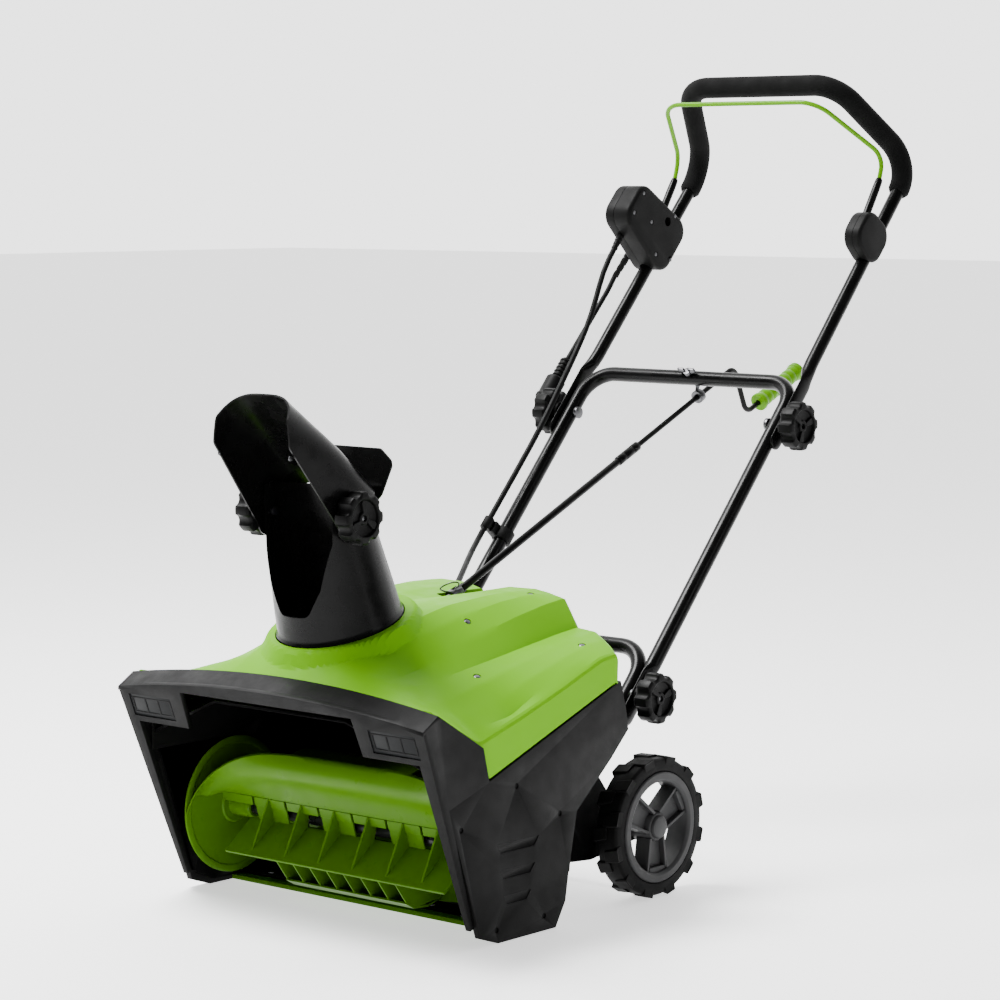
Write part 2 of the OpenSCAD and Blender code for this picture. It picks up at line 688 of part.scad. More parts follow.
// A ring on posts that holds the chute's gear down on the throat plate
module chute_retainer() color(shell_black) place() chute_frame() difference() {
    union() {
        translate([0, 0, -35.4]) cylinder(r = 101, h = 4, $fn = 96);
        for (a = [0 : 90 : 270]) rotate([0, 0, a + 45])
            translate([95, -8, -64]) cube([8, 16, 32]);
    }
    translate([0, 0, -45]) cylinder(r = skirt_r + clear_gap, h = 20, $fn = 96);
    translate([0, 0, -70]) cylinder(r = gear_r + 0.6, h = 34.6, $fn = 96);
}

// The pinion under the gear, its shaft, and the fork of the cranked joint
module chute_pinion() color(steel_grey) place() chute_frame() translate([0, 0, -52.7]) {
    difference() {
        translate([0, 82, 0]) rotate([-90, 0, 0]) cylinder(r = 9, h = 12, $fn = 48);
        for (i = [0 : 5]) translate([0, 81, 0]) rotate([0, i * 60 + 30, 0])
            translate([7.6, 0, -1.6]) cube([3, 14, 3.2]);
    }
    translate([0, 94, 0]) rotate([-90, 0, 0]) cylinder(d = 8, h = 118, $fn = 32);
    difference() {
        translate([0, 212, 0]) rotate([-90, 0, 0]) cylinder(d = 17, h = 21, $fn = 32);
        translate([-4.6, 217, -12]) cube([9.2, 20, 24]);
    }
    translate([-9, 227.5, 0]) rotate([0, 90, 0]) cylinder(d = 3, h = 18, $fn = 24);
}

// ---- deflector -----------------------------------------------------------

hood_x = 76;
hood_lean = 48;

// Half of the hood's rounded section, as a superellipse
hood_steps = 12;
hood_box = 0.34;
function hood_round(a, w, h) = [w * sign(cos(a)) * pow(abs(cos(a)), hood_box), h * pow(sin(a), hood_box)];
function hood_section(w, h) = [for (i = [0 : hood_steps]) hood_round(180 * i / hood_steps, w, h)];

hood_side = [[-19, 634], [-18.5, 668], [8, 702], [16, 702], [146, 577], [98, 523], [84, 505], [72, 510], [63, 526]];
hood_h = 92;

module deflector() color(tube_black) place() difference() {
    intersection() {
        slab(hood_side, -hood_x, hood_x);
        translate([0, 62, 527]) rotate([hood_lean, 0, 0]) translate([0, 0, -60])
            linear_extrude(300) polygon(concat(hood_section(hood_x, hood_h), [[-hood_x, -60], [hood_x, -60]]));
    }
    translate([0, 62, 527]) rotate([hood_lean, 0, 0]) translate([0, 0, -90])
        linear_extrude(360) polygon(concat(hood_section(hood_x - 2.6, hood_h - 3),
            [[-hood_x + 2.6, -90], [hood_x - 2.6, -90]]));
    rod_x(pivot_at, 6, -100, 100, 32);
}

module deflector_bolts() color(steel_grey) place() both() {
    rod_x(pivot_at, 5.8, 60, 98, 32);
    rod_x(pivot_at, 12, 60, 64, 32);
    rod_x(pivot_at, 12, 69.6, 72.4, 32);
}

// ---- upper handle ----------------------------------------------------------

knee_t = 504;
brow_n = 167;
brow_x = 138;
grip_start = 446;
knee_bend = 55;
upper_path = [[-upper_x, 92, 0], [-196, knee_t, 0], [-brow_x, 512, brow_n], [brow_x, 512, brow_n],
    [196, knee_t, 0], [upper_x, 92, 0]];
grip_path = [[-196.4, grip_start, 0], [-196, knee_t, 0], [-brow_x, 512, brow_n], [brow_x, 512, brow_n],
    [196, knee_t, 0], [196.4, grip_start, 0]];

module upper_handle() color(tube_black) place() handle_frame() difference() {
    union() {
        bent_bar(upper_path, upper_tube_d, knee_bend);
        both() {
            translate([plate_x - 3, -42, -13]) cube([6, 154, 26]);
            translate([upper_x - 2, 90, -7.5]) cube([11.4, 22, 15]);
        }
    }
    both() translate([150, 0, 0]) rotate([0, 90, 0]) cylinder(d = 8 + run_gap, h = 80, $fn = 32);
}

module foam_grip() color(rubber_black) place() handle_frame() difference() {
    bent_bar(grip_path, grip_d, knee_bend);
    bent_bar(upper_path, upper_tube_d, knee_bend);
}

// ---- switch and pivot boxes ------------------------------------------------

bail_t = 357;
bail_n = 32;

// Outline of the switch box, as [t, n]
box_outline = [[300, -17], [286, -9], [305, 114], [330, 117], [362, 114], [386, -4], [374, -18]];

// A [t, n] outline extruded across, in the handle's plane
module across(points, x0, x1)
    translate([x0, 0, 0]) rotate([90, 0, 90]) linear_extrude(x1 - x0) polygon(points);

// The tube that both boxes clamp, the bail's pivot and the room its arm swings in
module box_hollows() {
    bar(upper_path[0], [-196, knee_t, 0], upper_tube_d + 0.04);
    translate([-300, bail_t, bail_n]) rotate([0, 90, 0]) cylinder(d = 14.6, h = 150, $fn = 48);
    across([[354, 14], [402, 14], [402, 72], [354, 50]], -bail_x - 6.6, -bail_x + 7.2);
    relief_bars();
}

module switch_box() color(shell_black) place() handle_frame() difference() {
    across(box_outline, -204, -172);
    box_hollows();
    for (at = box_screws) translate([-210, at[0], at[1]]) rotate([0, 90, 0]) {
        cylinder(d = 4, h = 50, $fn = 24);
        translate([0, 0, 33.5]) cylinder(d = 6.2, h = 10, $fn = 24);
    }
}

module switch_lid() color(shell_black) place() handle_frame() difference() {
    union() {
        across(box_outline, -226, -204);
        across([[316, 30], [322, 100], [354, 100], [368, 30]], -232, -226);
    }
    box_hollows();
    for (at = box_screws) translate([-216, at[0], at[1]]) rotate([0, 90, 0]) cylinder(d = 4, h = 20, $fn = 24);
    translate([-240, 336, 70]) rotate([0, 90, 0]) cylinder(d = 14.6, h = 30, $fn = 48);
}

box_screws = [[312, 104], [350, 106], [300, 20], [376, 23], [330, 62], [318, -13.7]];

module switch_screws() color(steel_grey) place() handle_frame()
    for (at = box_screws) translate([-212, at[0], at[1]]) rotate([0, 90, 0]) {
        cylinder(d = 4, h = 38, $fn = 24);
        translate([0, 0, 35.5]) cylinder(d = 6, h = 3, $fn = 24);
    }

// A lock-off button on the outer face that frees the bail
module lock_button() color(rotor_green) place() handle_frame()
    translate([-238, 336, 70]) rotate([0, 90, 0]) cylinder(d = 14, h = 18, $fn = 48);

module pivot_box() color(shell_black) place() handle_frame() difference() {
    across([[301, 12], [305, 50], [318, 58], [362, 56], [377, 40], [379, 4], [368, -14], [326, -15]], 178, 220);
    mirror([1, 0, 0]) box_hollows();
}

// The bushes where the two cables leave the box
module relief_bars() {
    bar([-207, 303, 76], [-206, 269, 73.5], 13);
    bar([-226, 322, 20], [-254.6, 277.2, -2.4], 12);
}
module strain_relief() color(rubber_black) place() handle_frame() relief_bars();

// ---- bail ----------------------------------------------------------------

bail_x = 192;
bail_path = [[-bail_x, 425, 41], [-bail_x, 466, 60], [-150, 458, 165], [-122, 450, 190],
    [122, 450, 190], [150, 458, 165], [bail_x, 466, 60], [bail_x, 425, 41]];

module bail() color(cover_green) place() handle_frame() cord(bail_path, bail_d);

module bail_sleeves() color(tube_black) place() handle_frame() both() {
    difference() {
        union() {
            bar([bail_x, bail_t + 9, bail_n + 1.6], [bail_x, 432, 44.2], 12);
            translate([bail_x - 7, bail_t, bail_n]) rotate([0, 90, 0]) cylinder(d = 14, h = 14, $fn = 48);
        }
        bar([bail_x, 425, 41], [bail_x, 466, 60], bail_d);
    }
}

// ---- crank ---------------------------------------------------------------

rod_len = norm(eye_at - joint_at) + 97;
throw = 78;
grip_lead = 34;
crank_grip_len = 112;

// Points of the crank in the rod's own frame: x across, y down-back, z along
crank_path = [[0, 0, 8], [0, 0, rod_len], [0, throw, rod_len], [0, throw, rod_len + grip_lead + crank_grip_len + 5]];

module crank_rod() color(tube_black) place() rod_frame() {
    difference() {
        union() {
            bent_bar(crank_path, crank_d, 12, 24);
            translate([0, 0, 386]) cylinder(d = 14, h = 50, $fn = 32);
            translate([0, 0, 12]) cylinder(d = 11, h = 374, $fn = 32);
            translate([-2.6, -6, -6]) cube([5.2, 12, 22]);
        }
        translate([-9, 0, 0]) rotate([0, 90, 0]) cylinder(d = 6.4, h = 18, $fn = 24);
    }
    translate([-9, 0, 424]) rotate([0, 90, 0]) cylinder(d = 3, h = 18, $fn = 24);
}

module crank_grip() color(cover_green) place() rod_frame()
    translate([0, throw, rod_len + grip_lead]) difference() {
        union() {
            cylinder(d = 25, h = crank_grip_len, $fn = 48);
            cylinder(d = 28, h = 8, $fn = 48);
            translate([0, 0, crank_grip_len - 12]) cylinder(d = 28, h = 12, $fn = 48);
        }
        translate([0, 0, -1]) cylinder(d = crank_d + 0.2, h = crank_grip_len + 2, $fn = 48);
    }

// ---- cables --------------------------------------------------------------

// Hand-laid points in the handle's plane, as [x, t, n]
upper_cable_points = [[-206, 268, 73.5], [-205, 220, 70], [-200, 130, 50], [-195, 9, 42]];
lower_cable_points = [[-195, 7.5, 42], [-196, -80, 36], [-203.5, -264, 29.5], [-172, -310, 60], [-50, -458, 170]];

// The gland lies on the cable's last straight
gland_d = 17;
gland_way = unit(lower_cable_points[4] - lower_cable_points[3]);
gland_start = lower_cable_points[4] - 26 * gland_way;
gland_end = lower_cable_points[4] - 2 * gland_way;
pigtail_points = [[-254.9, 275.4, -3], [-259, 225, -9], [-259, 105, -5]];

module power_cable_upper() color(rubber_black) place() handle_frame() cord(upper_cable_points, cable_d);
module power_cable_lower() color(rubber_black) place() handle_frame()
    bent_bar(lower_cable_points, cable_d, 40, 24);
module pigtail_cable() color(rubber_black) place() handle_frame() cord(pigtail_points, 8);

// The supply plug: a ribbed boot, a flanged body and two blades
module pigtail_plug() color(rubber_black) place() handle_frame() {
    bar([-259, 104, -5], [-259, 66, -5], 16);
    for (i = [0 : 4]) bar([-259, 100 - 7 * i, -5], [-259, 97 - 7 * i, -5], 20);
    bar([-259, 66, -5], [-259, 24, -5], 31);
    bar([-259, 30, -5], [-259, 24, -5], 34);
    for (dx = [-6.5, 5]) translate([-259 + dx, 7, -8.2]) cube([1.5, 18, 6.4]);
}

// A clip that holds the cable beside the lower handle's left tube
module cable_clip() color(tube_black) place() handle_frame() difference() {
    union() {
        bar([-lower_x, -246, 0], [-lower_x, -228, 0], lower_tube_d + 8);
        bar([-203, -246, 30], [-202.6, -228, 30.2], cable_d + 7);
        translate([-204, -246, 8]) cube([12, 18, 16]);
    }
    bar([-lower_x, -260, 0], [-lower_x, -210, 0], lower_tube_d);
    bar(lower_cable_points[1], lower_cable_points[2], cable_d, 24);
}

// The grommet where the cable enters the back of the cover
module cable_grommet() color(rubber_black) place() handle_frame() difference() {
    bar(gland_start, gland_end, gland_d);
    bar(lower_cable_points[3], lower_cable_points[4] + 10 * gland_way, cable_d, 24);
}

auger_housing();
front_bezel();
top_cover();
side_cover_left();
side_cover_right();
scraper_bar();
scraper_screws();
lamp_left();
lamp_right();
lamp_board();
motor();
motor_spindle();
drive_belt();
control_board();
bearing_left();
bearing_right();
auger_shaft();
auger_rotor();
auger_pulley();
wheel_axle();
tyre_left();
tyre_right();
hub_left();
hub_right();
hub_cap_left();
hub_cap_right();
rear_hoop();
lower_handle();
lower_bolts();
mid_bolts();
crank_eye();
cable_clip();
cable_grommet();
chute_retainer();
chute();
chute_pinion();
deflector();
deflector_bolts();
knob_chute_left();
knob_chute_right();
knob_mid_left();
knob_mid_right();
knob_lower_left();
knob_lower_right();
upper_handle();
foam_grip();
switch_box();
switch_lid();
switch_screws();
pivot_box();
strain_relief();
power_cable_upper();
power_cable_lower();
pigtail_cable();
pigtail_plug();
bail();
bail_sleeves();
lock_button();
crank_rod();
crank_grip();
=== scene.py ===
"""Walk-behind electric snow thrower: looks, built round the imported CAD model."""

import json
import math

import bmesh
import bpy
import numpy as np
from mathutils import Matrix, Vector


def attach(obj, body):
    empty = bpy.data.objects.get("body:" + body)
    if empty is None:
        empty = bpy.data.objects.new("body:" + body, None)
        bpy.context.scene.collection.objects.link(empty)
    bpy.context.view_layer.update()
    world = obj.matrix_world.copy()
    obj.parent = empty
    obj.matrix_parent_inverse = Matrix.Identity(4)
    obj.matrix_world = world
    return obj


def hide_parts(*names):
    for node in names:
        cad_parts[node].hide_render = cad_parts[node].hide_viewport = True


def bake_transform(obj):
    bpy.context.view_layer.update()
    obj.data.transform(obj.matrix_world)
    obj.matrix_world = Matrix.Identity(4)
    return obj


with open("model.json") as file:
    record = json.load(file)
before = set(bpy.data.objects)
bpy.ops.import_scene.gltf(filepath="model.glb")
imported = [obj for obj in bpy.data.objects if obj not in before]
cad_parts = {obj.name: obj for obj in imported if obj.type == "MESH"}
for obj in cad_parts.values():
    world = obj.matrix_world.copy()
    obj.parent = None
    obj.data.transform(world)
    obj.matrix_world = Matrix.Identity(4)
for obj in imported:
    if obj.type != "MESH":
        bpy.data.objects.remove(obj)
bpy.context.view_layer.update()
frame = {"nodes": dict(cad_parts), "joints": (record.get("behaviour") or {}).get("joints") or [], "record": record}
JOINTS = {j["name"]: j for j in frame["joints"]}

# ---- frame ----
# Sizes below are in millimetres. x runs across, y is measured back from the
# front corners of the mouth, and z is up. row() turns a point into the row frame.

AXLE_Y = 491.7
Y_MID = AXLE_Y - 1000 * JOINTS["wheel_left_spin"]["pos_m"][1]


def row(p):
    return Vector((p[0] / 1000, (p[1] - Y_MID) / 1000, p[2] / 1000))


# ---- camera ----

CAMERA_AT = (2826.8, -2821.2, 967.2)
CAMERA_RIGHT = Vector((0.7583, 0.6520, 0.0))
CAMERA_BACK = Vector((0.6487, -0.7544, 0.1009))
CAMERA_LENS = 112.79


def make_camera():
    data = bpy.data.cameras.new("camera")
    data.lens = CAMERA_LENS
    data.sensor_width = 36
    camera = bpy.data.objects.new("camera", data)
    back = CAMERA_BACK.normalized()
    right = (CAMERA_RIGHT - back * CAMERA_RIGHT.dot(back)).normalized()
    up = back.cross(right)
    turn = Matrix((right, up, back)).transposed()
    camera.matrix_world = Matrix.Translation(row(CAMERA_AT)) @ turn.to_4x4()
    bpy.context.scene.collection.objects.link(camera)
    bpy.context.scene.camera = camera


make_camera()


# ---- materials ----


# Sizes in metres of the colour drift, the smudges and the bump's depth, how far a smudge
# changes the roughness, and where a noise texture's values mostly lie
DRIFT_SIZE = 0.06
SMUDGE_SIZE = 0.025
BUMP_DEPTH = 0.0003
SMUDGE = 0.08
NOISE_SPAN = (0.3, 0.7)


def fill(node, values):
    """Sets a node's inputs that nothing is linked to."""
    for socket, value in values.items():
        node.inputs[socket].default_value = value


def material(name, colour, rough, grain, grain_size, gleam, vary=0.06, metal=0.0, sheen=0.0,
             stretch=(1, 1, 1)):
    """A procedural surface: colour drift, uneven roughness and a fine bump."""
    made = bpy.data.materials.new(name)
    made.use_nodes = True
    tree = made.node_tree
    shader = tree.nodes["Principled BSDF"]
    fill(shader, {"Metallic": metal, "Sheen Weight": sheen, "Specular IOR Level": gleam})
    place = tree.nodes.new("ShaderNodeTexCoord")
    shape = tree.nodes.new("ShaderNodeMapping")
    fill(shape, {"Scale": stretch})
    tree.links.new(place.outputs["Object"], shape.inputs["Vector"])

    def noise(size, detail):
        node = tree.nodes.new("ShaderNodeTexNoise")
        fill(node, {"Scale": 1 / size, "Detail": detail})
        tree.links.new(shape.outputs["Vector"], node.inputs["Vector"])
        return node.outputs["Fac"]

    def spread(source, low, high):
        node = tree.nodes.new("ShaderNodeMapRange")
        fill(node, {"From Min": NOISE_SPAN[0], "From Max": NOISE_SPAN[1], "To Min": low, "To Max": high})
        tree.links.new(source, node.inputs["Value"])
        return node.outputs["Result"]

    drift = tree.nodes.new("ShaderNodeMix")
    drift.data_type = "RGBA"
    fill(drift, {"A": (*[c * (1 - vary) for c in colour], 1),
                 "B": (*[min(1, c * (1 + vary)) for c in colour], 1)})
    tree.links.new(noise(DRIFT_SIZE, 3), drift.inputs["Factor"])
    tree.links.new(drift.outputs["Result"], shader.inputs["Base Color"])
    uneven = spread(noise(SMUDGE_SIZE, 5), max(0.02, rough - SMUDGE), min(1, rough + SMUDGE))
    tree.links.new(uneven, shader.inputs["Roughness"])
    if grain:
        bump = tree.nodes.new("ShaderNodeBump")
        fill(bump, {"Strength": grain, "Distance": BUMP_DEPTH})
        tree.links.new(noise(grain_size, 2), bump.inputs["Height"])
        tree.links.new(bump.outputs["Normal"], shader.inputs["Normal"])
    return made


BLACK = (0.003, 0.003, 0.003)
# Slot: base colour, roughness, bump strength, bump size in metres, specular level, and the rest
FINISHES = {
    "cover_green": ((0.125, 0.37, 0.0002), 0.45, 0.04, 0.0009, 0.04, {"vary": 0.02}),
    "rotor_green": ((0.062, 0.17, 0.0003), 0.34, 0.04, 0.0012, 0.12, {"vary": 0.05}),
    "shell_black": ((0.0038, 0.0038, 0.0038), 0.5, 0.3, 0.0007, 0.07, {}),
    "knob_black": (BLACK, 0.42, 0.2, 0.0008, 0.07, {}),
    "lens": ((0.008, 0.0085, 0.009), 0.35, 0.0, 0.0004, 0.06, {"vary": 0.02}),
    "tube_black": ((0.0022, 0.0022, 0.0022), 0.27, 0.03, 0.003, 0.11, {}),
    "bail_green": ((0.085, 0.25, 0.0003), 0.3, 0.03, 0.003, 0.1, {}),
    "foam": (BLACK, 0.8, 0.8, 0.0009, 0.06, {"sheen": 0.02}),
    "rubber_black": (BLACK, 0.5, 0.15, 0.0006, 0.08, {}),
    "tyre": (BLACK, 0.58, 0.4, 0.0008, 0.07, {}),
    "hub_grey": ((0.036, 0.036, 0.037), 0.46, 0.3, 0.0007, 0.12, {}),
    "steel": ((0.10, 0.10, 0.105), 0.34, 0.1, 0.0006, 0.5, {"metal": 1.0, "stretch": (1, 1, 12)}),
    "shaft_black": ((0.008, 0.008, 0.008), 0.3, 0.08, 0.002, 0.3, {}),
    "motor_grey": ((0.07, 0.07, 0.073), 0.4, 0.1, 0.001, 0.5, {}),
    "board": ((0.02, 0.06, 0.025), 0.4, 0.1, 0.001, 0.5, {}),
}
MATERIALS = {name: material(name, *look[:-1], **look[-1]) for name, look in FINISHES.items()}
SLOT_OF = {s["node"]: s["material_slot"] for s in frame["record"]["subparts"]}
# CAD nodes: welding distance and width of softened edges in metres, from what angle in degrees
CAD_WELD = 0.00002
CAD_BEVEL = 0.0007
CAD_BEVEL_ANGLE = 32


def dress_cad_nodes():
    """Gives each CAD node that stays its finish and softened edges."""
    for name, obj in frame["nodes"].items():
        made = MATERIALS[SLOT_OF[name]]
        obj.data.materials.clear()
        obj.data.materials.append(made)
        if obj.hide_render:
            continue
        weld = obj.modifiers.new("weld", "WELD")
        weld.merge_threshold = CAD_WELD
        bevel = obj.modifiers.new("edge", "BEVEL")
        bevel.width = CAD_BEVEL
        bevel.segments = 2
        bevel.limit_method = "ANGLE"
        bevel.angle_limit = math.radians(CAD_BEVEL_ANGLE)
        bevel.harden_normals = True
        for face in obj.data.polygons:
            face.use_smooth = True


# ---- mesh tools ----
# Pieces are modelled in millimetres in one of these frames, then set in the row frame.

TO_ROW = Matrix.Translation((0, -Y_MID / 1000, 0)) @ Matrix.Scale(0.001, 4)


def tilted(y, z, degrees):
    return Matrix.Translation((0, y, z)) @ Matrix.Rotation(math.radians(degrees), 4, "X")


# Feet of the chute and the crank rod, [y, z], and their angles in degrees
CHUTE_AT = (143, 391)
CHUTE_LEAN = 17
ROD_AT = (376, 407)
ROD_RISE = 23.9

WORLD = Matrix.Identity(4)
# HANDLE starts at the middle knobs, and its y runs up the tubes. FRONT lies on the lamps' face.
HANDLE = tilted(854, 619.4, 48)
CHUTE = tilted(*CHUTE_AT, CHUTE_LEAN)
FRONT = tilted(0, 294, 90 + 21.1)
ROD = tilted(*ROD_AT, ROD_RISE - 90)


class Shape:
    """Vertices and faces gathered from simple builders, then made into one piece."""

    def __init__(self, space=WORLD):
        self.space = space
        self.verts = []
        self.faces = []

    def add(self, verts, faces):
        base = len(self.verts)
        self.verts += [Vector(v) for v in verts]
        self.faces += [[i + base for i in f] for f in faces]

    def rings(self, rings, closed=False):
        """Joins rings of equal length, each a loop of points, and caps open ends."""
        n = len(rings[0])
        verts = [v for r in rings for v in r]
        faces = []
        for i in range(len(rings) if closed else len(rings) - 1):
            a = i * n
            b = (i + 1) % len(rings) * n
            for k in range(n):
                m = (k + 1) % n
                faces.append([a + k, a + m, b + m, b + k])
        if not closed:
            faces.append(list(range(n))[::-1])
            faces.append([(len(rings) - 1) * n + k for k in range(n)])
        self.add(verts, faces)

    def prism(self, outline, low, high, axis="x"):
        """An outline in the plane across an axis, extruded along that axis from low to high."""
        spot = "xyz".index(axis)
        self.rings([[(*p[:spot], h, *p[spot:]) for p in outline] for h in (low, high)])

    def block(self, low, high):
        self.prism([(low[0], low[1]), (high[0], low[1]), (high[0], high[1]), (low[0], high[1])],
                   low[2], high[2], "z")

    def lathe(self, profile, centre=(0, 0, 0), axis=(1, 0, 0), steps=64, closed=False):
        """Turns a profile of (distance along the axis, radius) round the axis."""
        axis = Vector(axis).normalized()
        side = axis.orthogonal().normalized()
        other = axis.cross(side)
        turn = [2 * math.pi * k / steps for k in range(steps)]
        rings = [[Vector(centre) + axis * along + side * radius * math.cos(t)
                  + other * radius * math.sin(t) for t in turn] for along, radius in profile]
        self.rings(rings, closed=closed)

    def tube(self, points, radius, up=(0, 0, 1), steps=28, sizes=None):
        """A round tube along points. sizes gives (across, along up) half widths at each point."""
        points = [Vector(p) for p in points]
        rings = []
        side = None
        for i, p in enumerate(points):
            ahead = points[min(i + 1, len(points) - 1)] - points[max(i - 1, 0)]
            ahead.normalize()
            if side is None:
                side = ahead.cross(Vector(up)).normalized()
            side = (side - ahead * side.dot(ahead)).normalized()
            top = side.cross(ahead)
            wide, tall = sizes[i] if sizes else (radius, radius)
            rings.append([p + side * wide * math.cos(t) + top * tall * math.sin(t)
                          for t in (2 * math.pi * k / steps for k in range(steps))])
        self.rings(rings)

    def make(self, name, slot, body, nodes=(), bevel=0.6, segments=2, angle=35):
        """One object of these faces, softened at its edges, riding on a body."""
        return dressed(solid(self, name), name, slot, body, nodes, bevel, segments, angle)


def dressed(obj, name, slot, body, nodes=(), bevel=0.6, segments=2, angle=35):
    """Gives a piece its name, its finish, its softened edges and its place in the model."""
    obj.name = name
    obj.data.materials.clear()
    obj.data.materials.append(MATERIALS[slot])
    obj.data.shade_smooth()
    obj.data.set_sharp_from_angle(angle=math.radians(angle))
    if bevel:
        edge = obj.modifiers.new("edge", "BEVEL")
        edge.width = bevel / 1000
        edge.segments = segments
        edge.limit_method = "ANGLE"
        edge.angle_limit = math.radians(angle)
        edge.harden_normals = True
    if body:
        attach(obj, body)
    if nodes:
        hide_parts(*nodes)
    return obj


def solid(shape, name):
    """A bare object of a shape, with its faces turned outwards."""
    mesh = bpy.data.meshes.new(name)
    space = TO_ROW @ shape.space
    mesh.from_pydata([space @ v for v in shape.verts], [], shape.faces)
    tidy = bmesh.new()
    tidy.from_mesh(mesh)
    bmesh.ops.recalc_face_normals(tidy, faces=tidy.faces)
    tidy.to_mesh(mesh)
    tidy.free()
    obj = bpy.data.objects.new(name, mesh)
    bpy.context.scene.collection.objects.link(obj)
    return obj


def side_bore(name, space, low, high, at, radius, end_radius=None, steps=64):
    """A round cutter across the machine, from low to high."""
    bore = Shape(space)
    bore.lathe([(low, radius), (high, end_radius or radius)], centre=(0, *at), steps=steps)
    return solid(bore, name)


def combine(base, others, how="DIFFERENCE"):
    """Cuts the others from a bare object, or joins them to it, and drops them."""
    for other in others:
        step = base.modifiers.new("step", "BOOLEAN")
        step.operation = how
        step.solver = "EXACT"
        step.object = other
    bpy.context.view_layer.update()
    done = base.evaluated_get(bpy.context.evaluated_depsgraph_get())
    base_mesh = base.data
    base.data = bpy.data.meshes.new_from_object(done)
    base.modifiers.clear()
    bpy.data.meshes.remove(base_mesh)
    for other in others:
        bpy.data.meshes.remove(other.data)
    return base


# A corner that turns less than this many radians is left as it is
STRAIGHT = 0.05


def corner_arc(before, corner, after, radius, share, steps):
    """Points of an arc that rounds a corner and takes up to a share of either side."""
    into = (corner - before).normalized()
    away = (after - corner).normalized()
    turn = into.angle(away)
    if turn < STRAIGHT:
        return [corner]
    shorter = min((corner - before).length, (after - corner).length)
    back = min(radius * math.tan(turn / 2), share * shorter)
    arc = back / math.tan(turn / 2)
    normal = into.cross(away).normalized()
    centre = corner - into * back + normal.cross(into) * arc
    start = corner - into * back - centre
    return [centre + Matrix.Rotation(turn * k / steps, 3, normal) @ start for k in range(steps + 1)]


def filleted(points, radius, steps=10):
    """A path of straights joined by arcs of one radius."""
    points = [Vector(p) for p in points]
    path = [points[0]]
    for before, corner, after in zip(points, points[1:], points[2:]):
        path += corner_arc(before, corner, after, radius, 0.48, steps)
    path.append(points[-1])
    return path


def reaches(points):
    """Distance along a path at each of its points."""
    reach = [0]
    for a, b in zip(points, points[1:]):
        reach.append(reach[-1] + (b - a).length)
    return reach


def eased(points, spacing):
    """A smooth curve through a few points (Catmull-Rom), sampled at an even spacing."""
    points = [Vector(p) for p in points]
    samples = 24
    ends = [points[0] * 2 - points[1]] + points + [points[-1] * 2 - points[-2]]
    fine = []
    for a, b, c, d in zip(ends, ends[1:], ends[2:], ends[3:]):
        for t in (k / samples for k in range(samples)):
            fine.append(0.5 * (2 * b + (c - a) * t + (2 * a - 5 * b + 4 * c - d) * t * t
                               + (3 * b - a - 3 * c + d) * t ** 3))
    fine.append(points[-1])
    reach = reaches(fine)
    count = max(2, round(reach[-1] / spacing))
    even = []
    for k in range(count + 1):
        want = reach[-1] * k / count
        i = min(max(1, int(np.searchsorted(reach, want))), len(fine) - 1)
        span = reach[i] - reach[i - 1] or 1
        even.append(fine[i - 1].lerp(fine[i], (want - reach[i - 1]) / span))
    return even


def rounded(points, radius, steps=5):
    """An outline with its corners rounded."""
    flat = [Vector((*p, 0)) for p in points]
    out = []
    for before, corner, after in zip(flat[-1:] + flat[:-1], flat, flat[1:] + flat[:1]):
        out += corner_arc(before, corner, after, radius, 0.45, steps)
    return [(v.x, v.y) for v in out]


# ---- cover ----

# Stations across and along the cover, and its height over them
COVER_X = (0, 40, 86, 110, 138, 165, 200, 230, 250, 262)
COVER_Y = (28, 60, 116, 140, 199, 260, 340, 400, 440)
COVER_Z = (
    (329, 329, 327, 325, 322, 319, 316, 315, 315, 315),
    (352, 351, 347, 341, 334, 327, 317, 308, 302, 297),
    (376, 375, 371, 357, 338, 328, 309, 290, 275, 266),
    (385, 384, 380, 364, 341, 329, 312, 294, 281, 273),
    (402, 402, 398, 383, 360, 337, 324, 303, 287, 289),
    (407, 409, 409, 397, 374, 345, 337, 325, 313, 307),
    (405, 412, 414, 408, 391, 356, 352, 345, 337, 330),
    (403, 412, 414, 411, 401, 364, 361, 356, 350, 346),
    (402, 412, 413, 410, 405, 368, 366, 360, 353, 348))
COVER_REAR = (0, 0, 0, 1, 4, 8, 13, 32, 42, 50)
COVER_FRONT_Y = 28
COVER_REAR_Y = 440
COVER_HALF = 265
COVER_SKIN = 3
# Grid step, and how often the creases across the cover are blurred
CELL = 4.0
COVER_BLUR = 6
# The chute's foot, and the raised collar round it with its sloping flank
CHUTE_R = 84
CHUTE_GAP = 3.5
COLLAR_R = 108
COLLAR_FLANK = 11
# Where the cover is screwed down, across and along it
COVER_SCREWS = [(118, 262), (185, 205), (105, 408), (222, 375)]
# The side strip's lower edge: a slow rise behind HEM_Y, and a steep drop to it from HEM_TURN_Y
HEM_Y = 134
HEM_Z = 216
HEM_RISE = 0.361
HEM_TURN_Y = 118
HEM_TURN_Z = 262
HEM_DROP = 3.2
# How the rear edge turns down into a curtain: back and down from the edge
COVER_CURTAIN = ((2.2, 0.8), (3.6, 3.4), (3.8, 8), (1.5, 24), (-2, 42))


def stepped(stations):
    """The stations with even steps of about one cell between them."""
    steps = [stations[0]]
    for a, b in zip(stations, stations[1:]):
        steps += list(np.linspace(a, b, max(2, round((b - a) / CELL) + 1))[1:])
    return np.array(steps)


def soft_blur(grid, times):
    """Rounds the creases that run across a height grid, and leaves those along it crisp."""
    for _ in range(times):
        padded = np.pad(grid, ((1, 1), (0, 0)), mode="reflect", reflect_type="odd")
        grid = (padded[:-2] + padded[2:] + 2 * padded[1:-1]) / 4
    return grid


